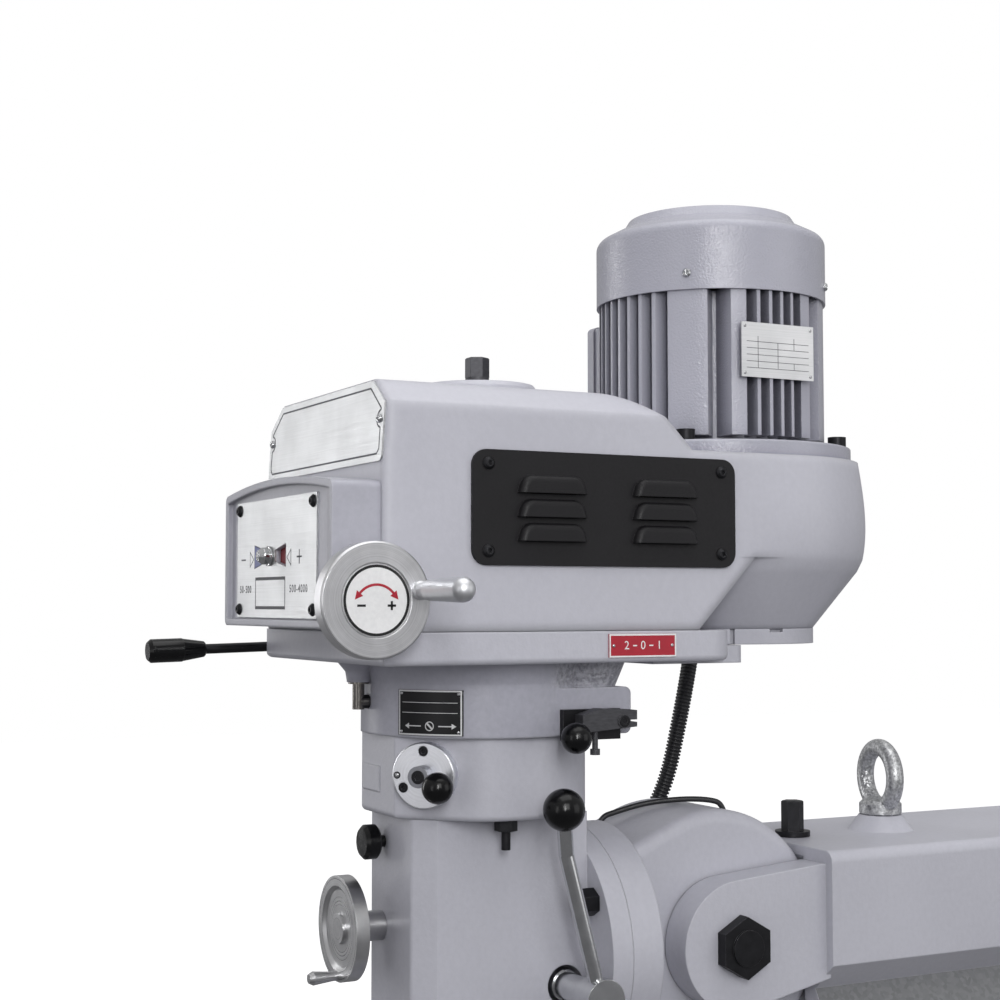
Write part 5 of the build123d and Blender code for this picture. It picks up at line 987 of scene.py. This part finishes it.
# Stage: a plain pale floor, a white surround, soft boxes above and round the machine,
# and the camera at the photograph's angle.

floor_size = 7.0
floor_level = -0.15
corners = [(sx * floor_size, sy * floor_size, floor_level) for sx, sy in ((-1, -1), (1, -1), (1, 1), (-1, 1))]
floor_mesh = bpy.data.meshes.new("studio_floor")
floor_mesh.from_pydata(corners, [], [(0, 1, 2, 3)])
floor = bpy.data.objects.new("studio_floor", floor_mesh)
bpy.context.scene.collection.objects.link(floor)
floor.visible_diffuse = False
floor.visible_glossy = False
floor_paint = new_finish("white_floor_paint", Roughness=0.8, Base_Color=linear("#f6f6f6"),
                         Emission_Color=linear("#ffffff"), Emission_Strength=0.55)[0]
floor_mesh.materials.append(floor_paint)

# The surround is darker low down and white above; the camera sees it as plain white.
world = bpy.data.worlds.new("white_studio")
bpy.context.scene.world = world
world.use_nodes = True
tree = world.node_tree
tree.nodes.clear()
way = add(tree, "ShaderNodeTexCoord").outputs["Generated"]
rise = add(tree, "ShaderNodeSeparateXYZ", {"Vector": way}).outputs["Z"]
height = add(tree, "ShaderNodeMapRange", {"Value": rise, "From Min": -1.0, "From Max": 1.0})
sky = add(tree, "ShaderNodeValToRGB", {"Fac": height})
sky.color_ramp.elements[0].position = 0.30
sky.color_ramp.elements[0].color = (0.33, 0.33, 0.34, 1)
sky.color_ramp.elements[1].position = 0.85
sky.color_ramp.elements[1].color = (1.0, 1.0, 1.0, 1)
middle = sky.color_ramp.elements.new(0.55)
middle.color = (0.62, 0.62, 0.64, 1)
surround = add(tree, "ShaderNodeBackground", {"Color": sky, "Strength": 0.55})
backdrop = add(tree, "ShaderNodeBackground", {"Color": (1, 1, 1, 1), "Strength": 1.0})
seen = add(tree, "ShaderNodeLightPath").outputs["Is Camera Ray"]
either = add(tree, "ShaderNodeMixShader", {0: seen, 1: surround, 2: backdrop})
add(tree, "ShaderNodeOutputWorld", {"Surface": either})


def soft_box(name, place, width, height, power):
    """A rectangular lamp aimed at the machine, not seen itself by the camera."""
    lamp = bpy.data.lights.new(name, "AREA")
    lamp.shape = "RECTANGLE"
    lamp.size = width
    lamp.size_y = height
    lamp.energy = power
    holder = bpy.data.objects.new(name, lamp)
    holder.location = place
    holder.rotation_euler = (machine_middle - Vector(place)).to_track_quat("-Z", "Y").to_euler()
    holder.visible_camera = False
    bpy.context.scene.collection.objects.link(holder)


machine_middle = Vector((0.0, 0.12, 0.55))
soft_box("top_box", (0.3, 0.1, 2.9), 2.4, 2.4, 27.0)
soft_box("left_front_strip", (-2.1, -1.35, 0.9), 0.22, 1.7, 9.5)
soft_box("camera_box", (2.6, -0.5, 1.5), 1.3, 1.5, 16.5)
soft_box("camera_strip", (2.5, -0.98, 1.2), 0.16, 1.3, 19.0)
soft_box("right_rear_card", (2.1, 2.1, 0.8), 1.6, 1.8, 7.5)
soft_box("front_right_box", (1.15, -2.35, 0.7), 0.5, 1.3, 3.6)

camera_data = bpy.data.cameras.new("photo_camera")
camera_data.sensor_width = 36.0
camera_data.lens = 61.2
camera = bpy.data.objects.new("photo_camera", camera_data)
camera.location = (1.36546, -0.67263, 0.520)
camera.rotation_euler = (math.radians(93.467), 0, math.radians(63))
bpy.context.scene.collection.objects.link(camera)
bpy.context.scene.camera = camera
bpy.context.scene.view_settings.view_transform = "Standard"
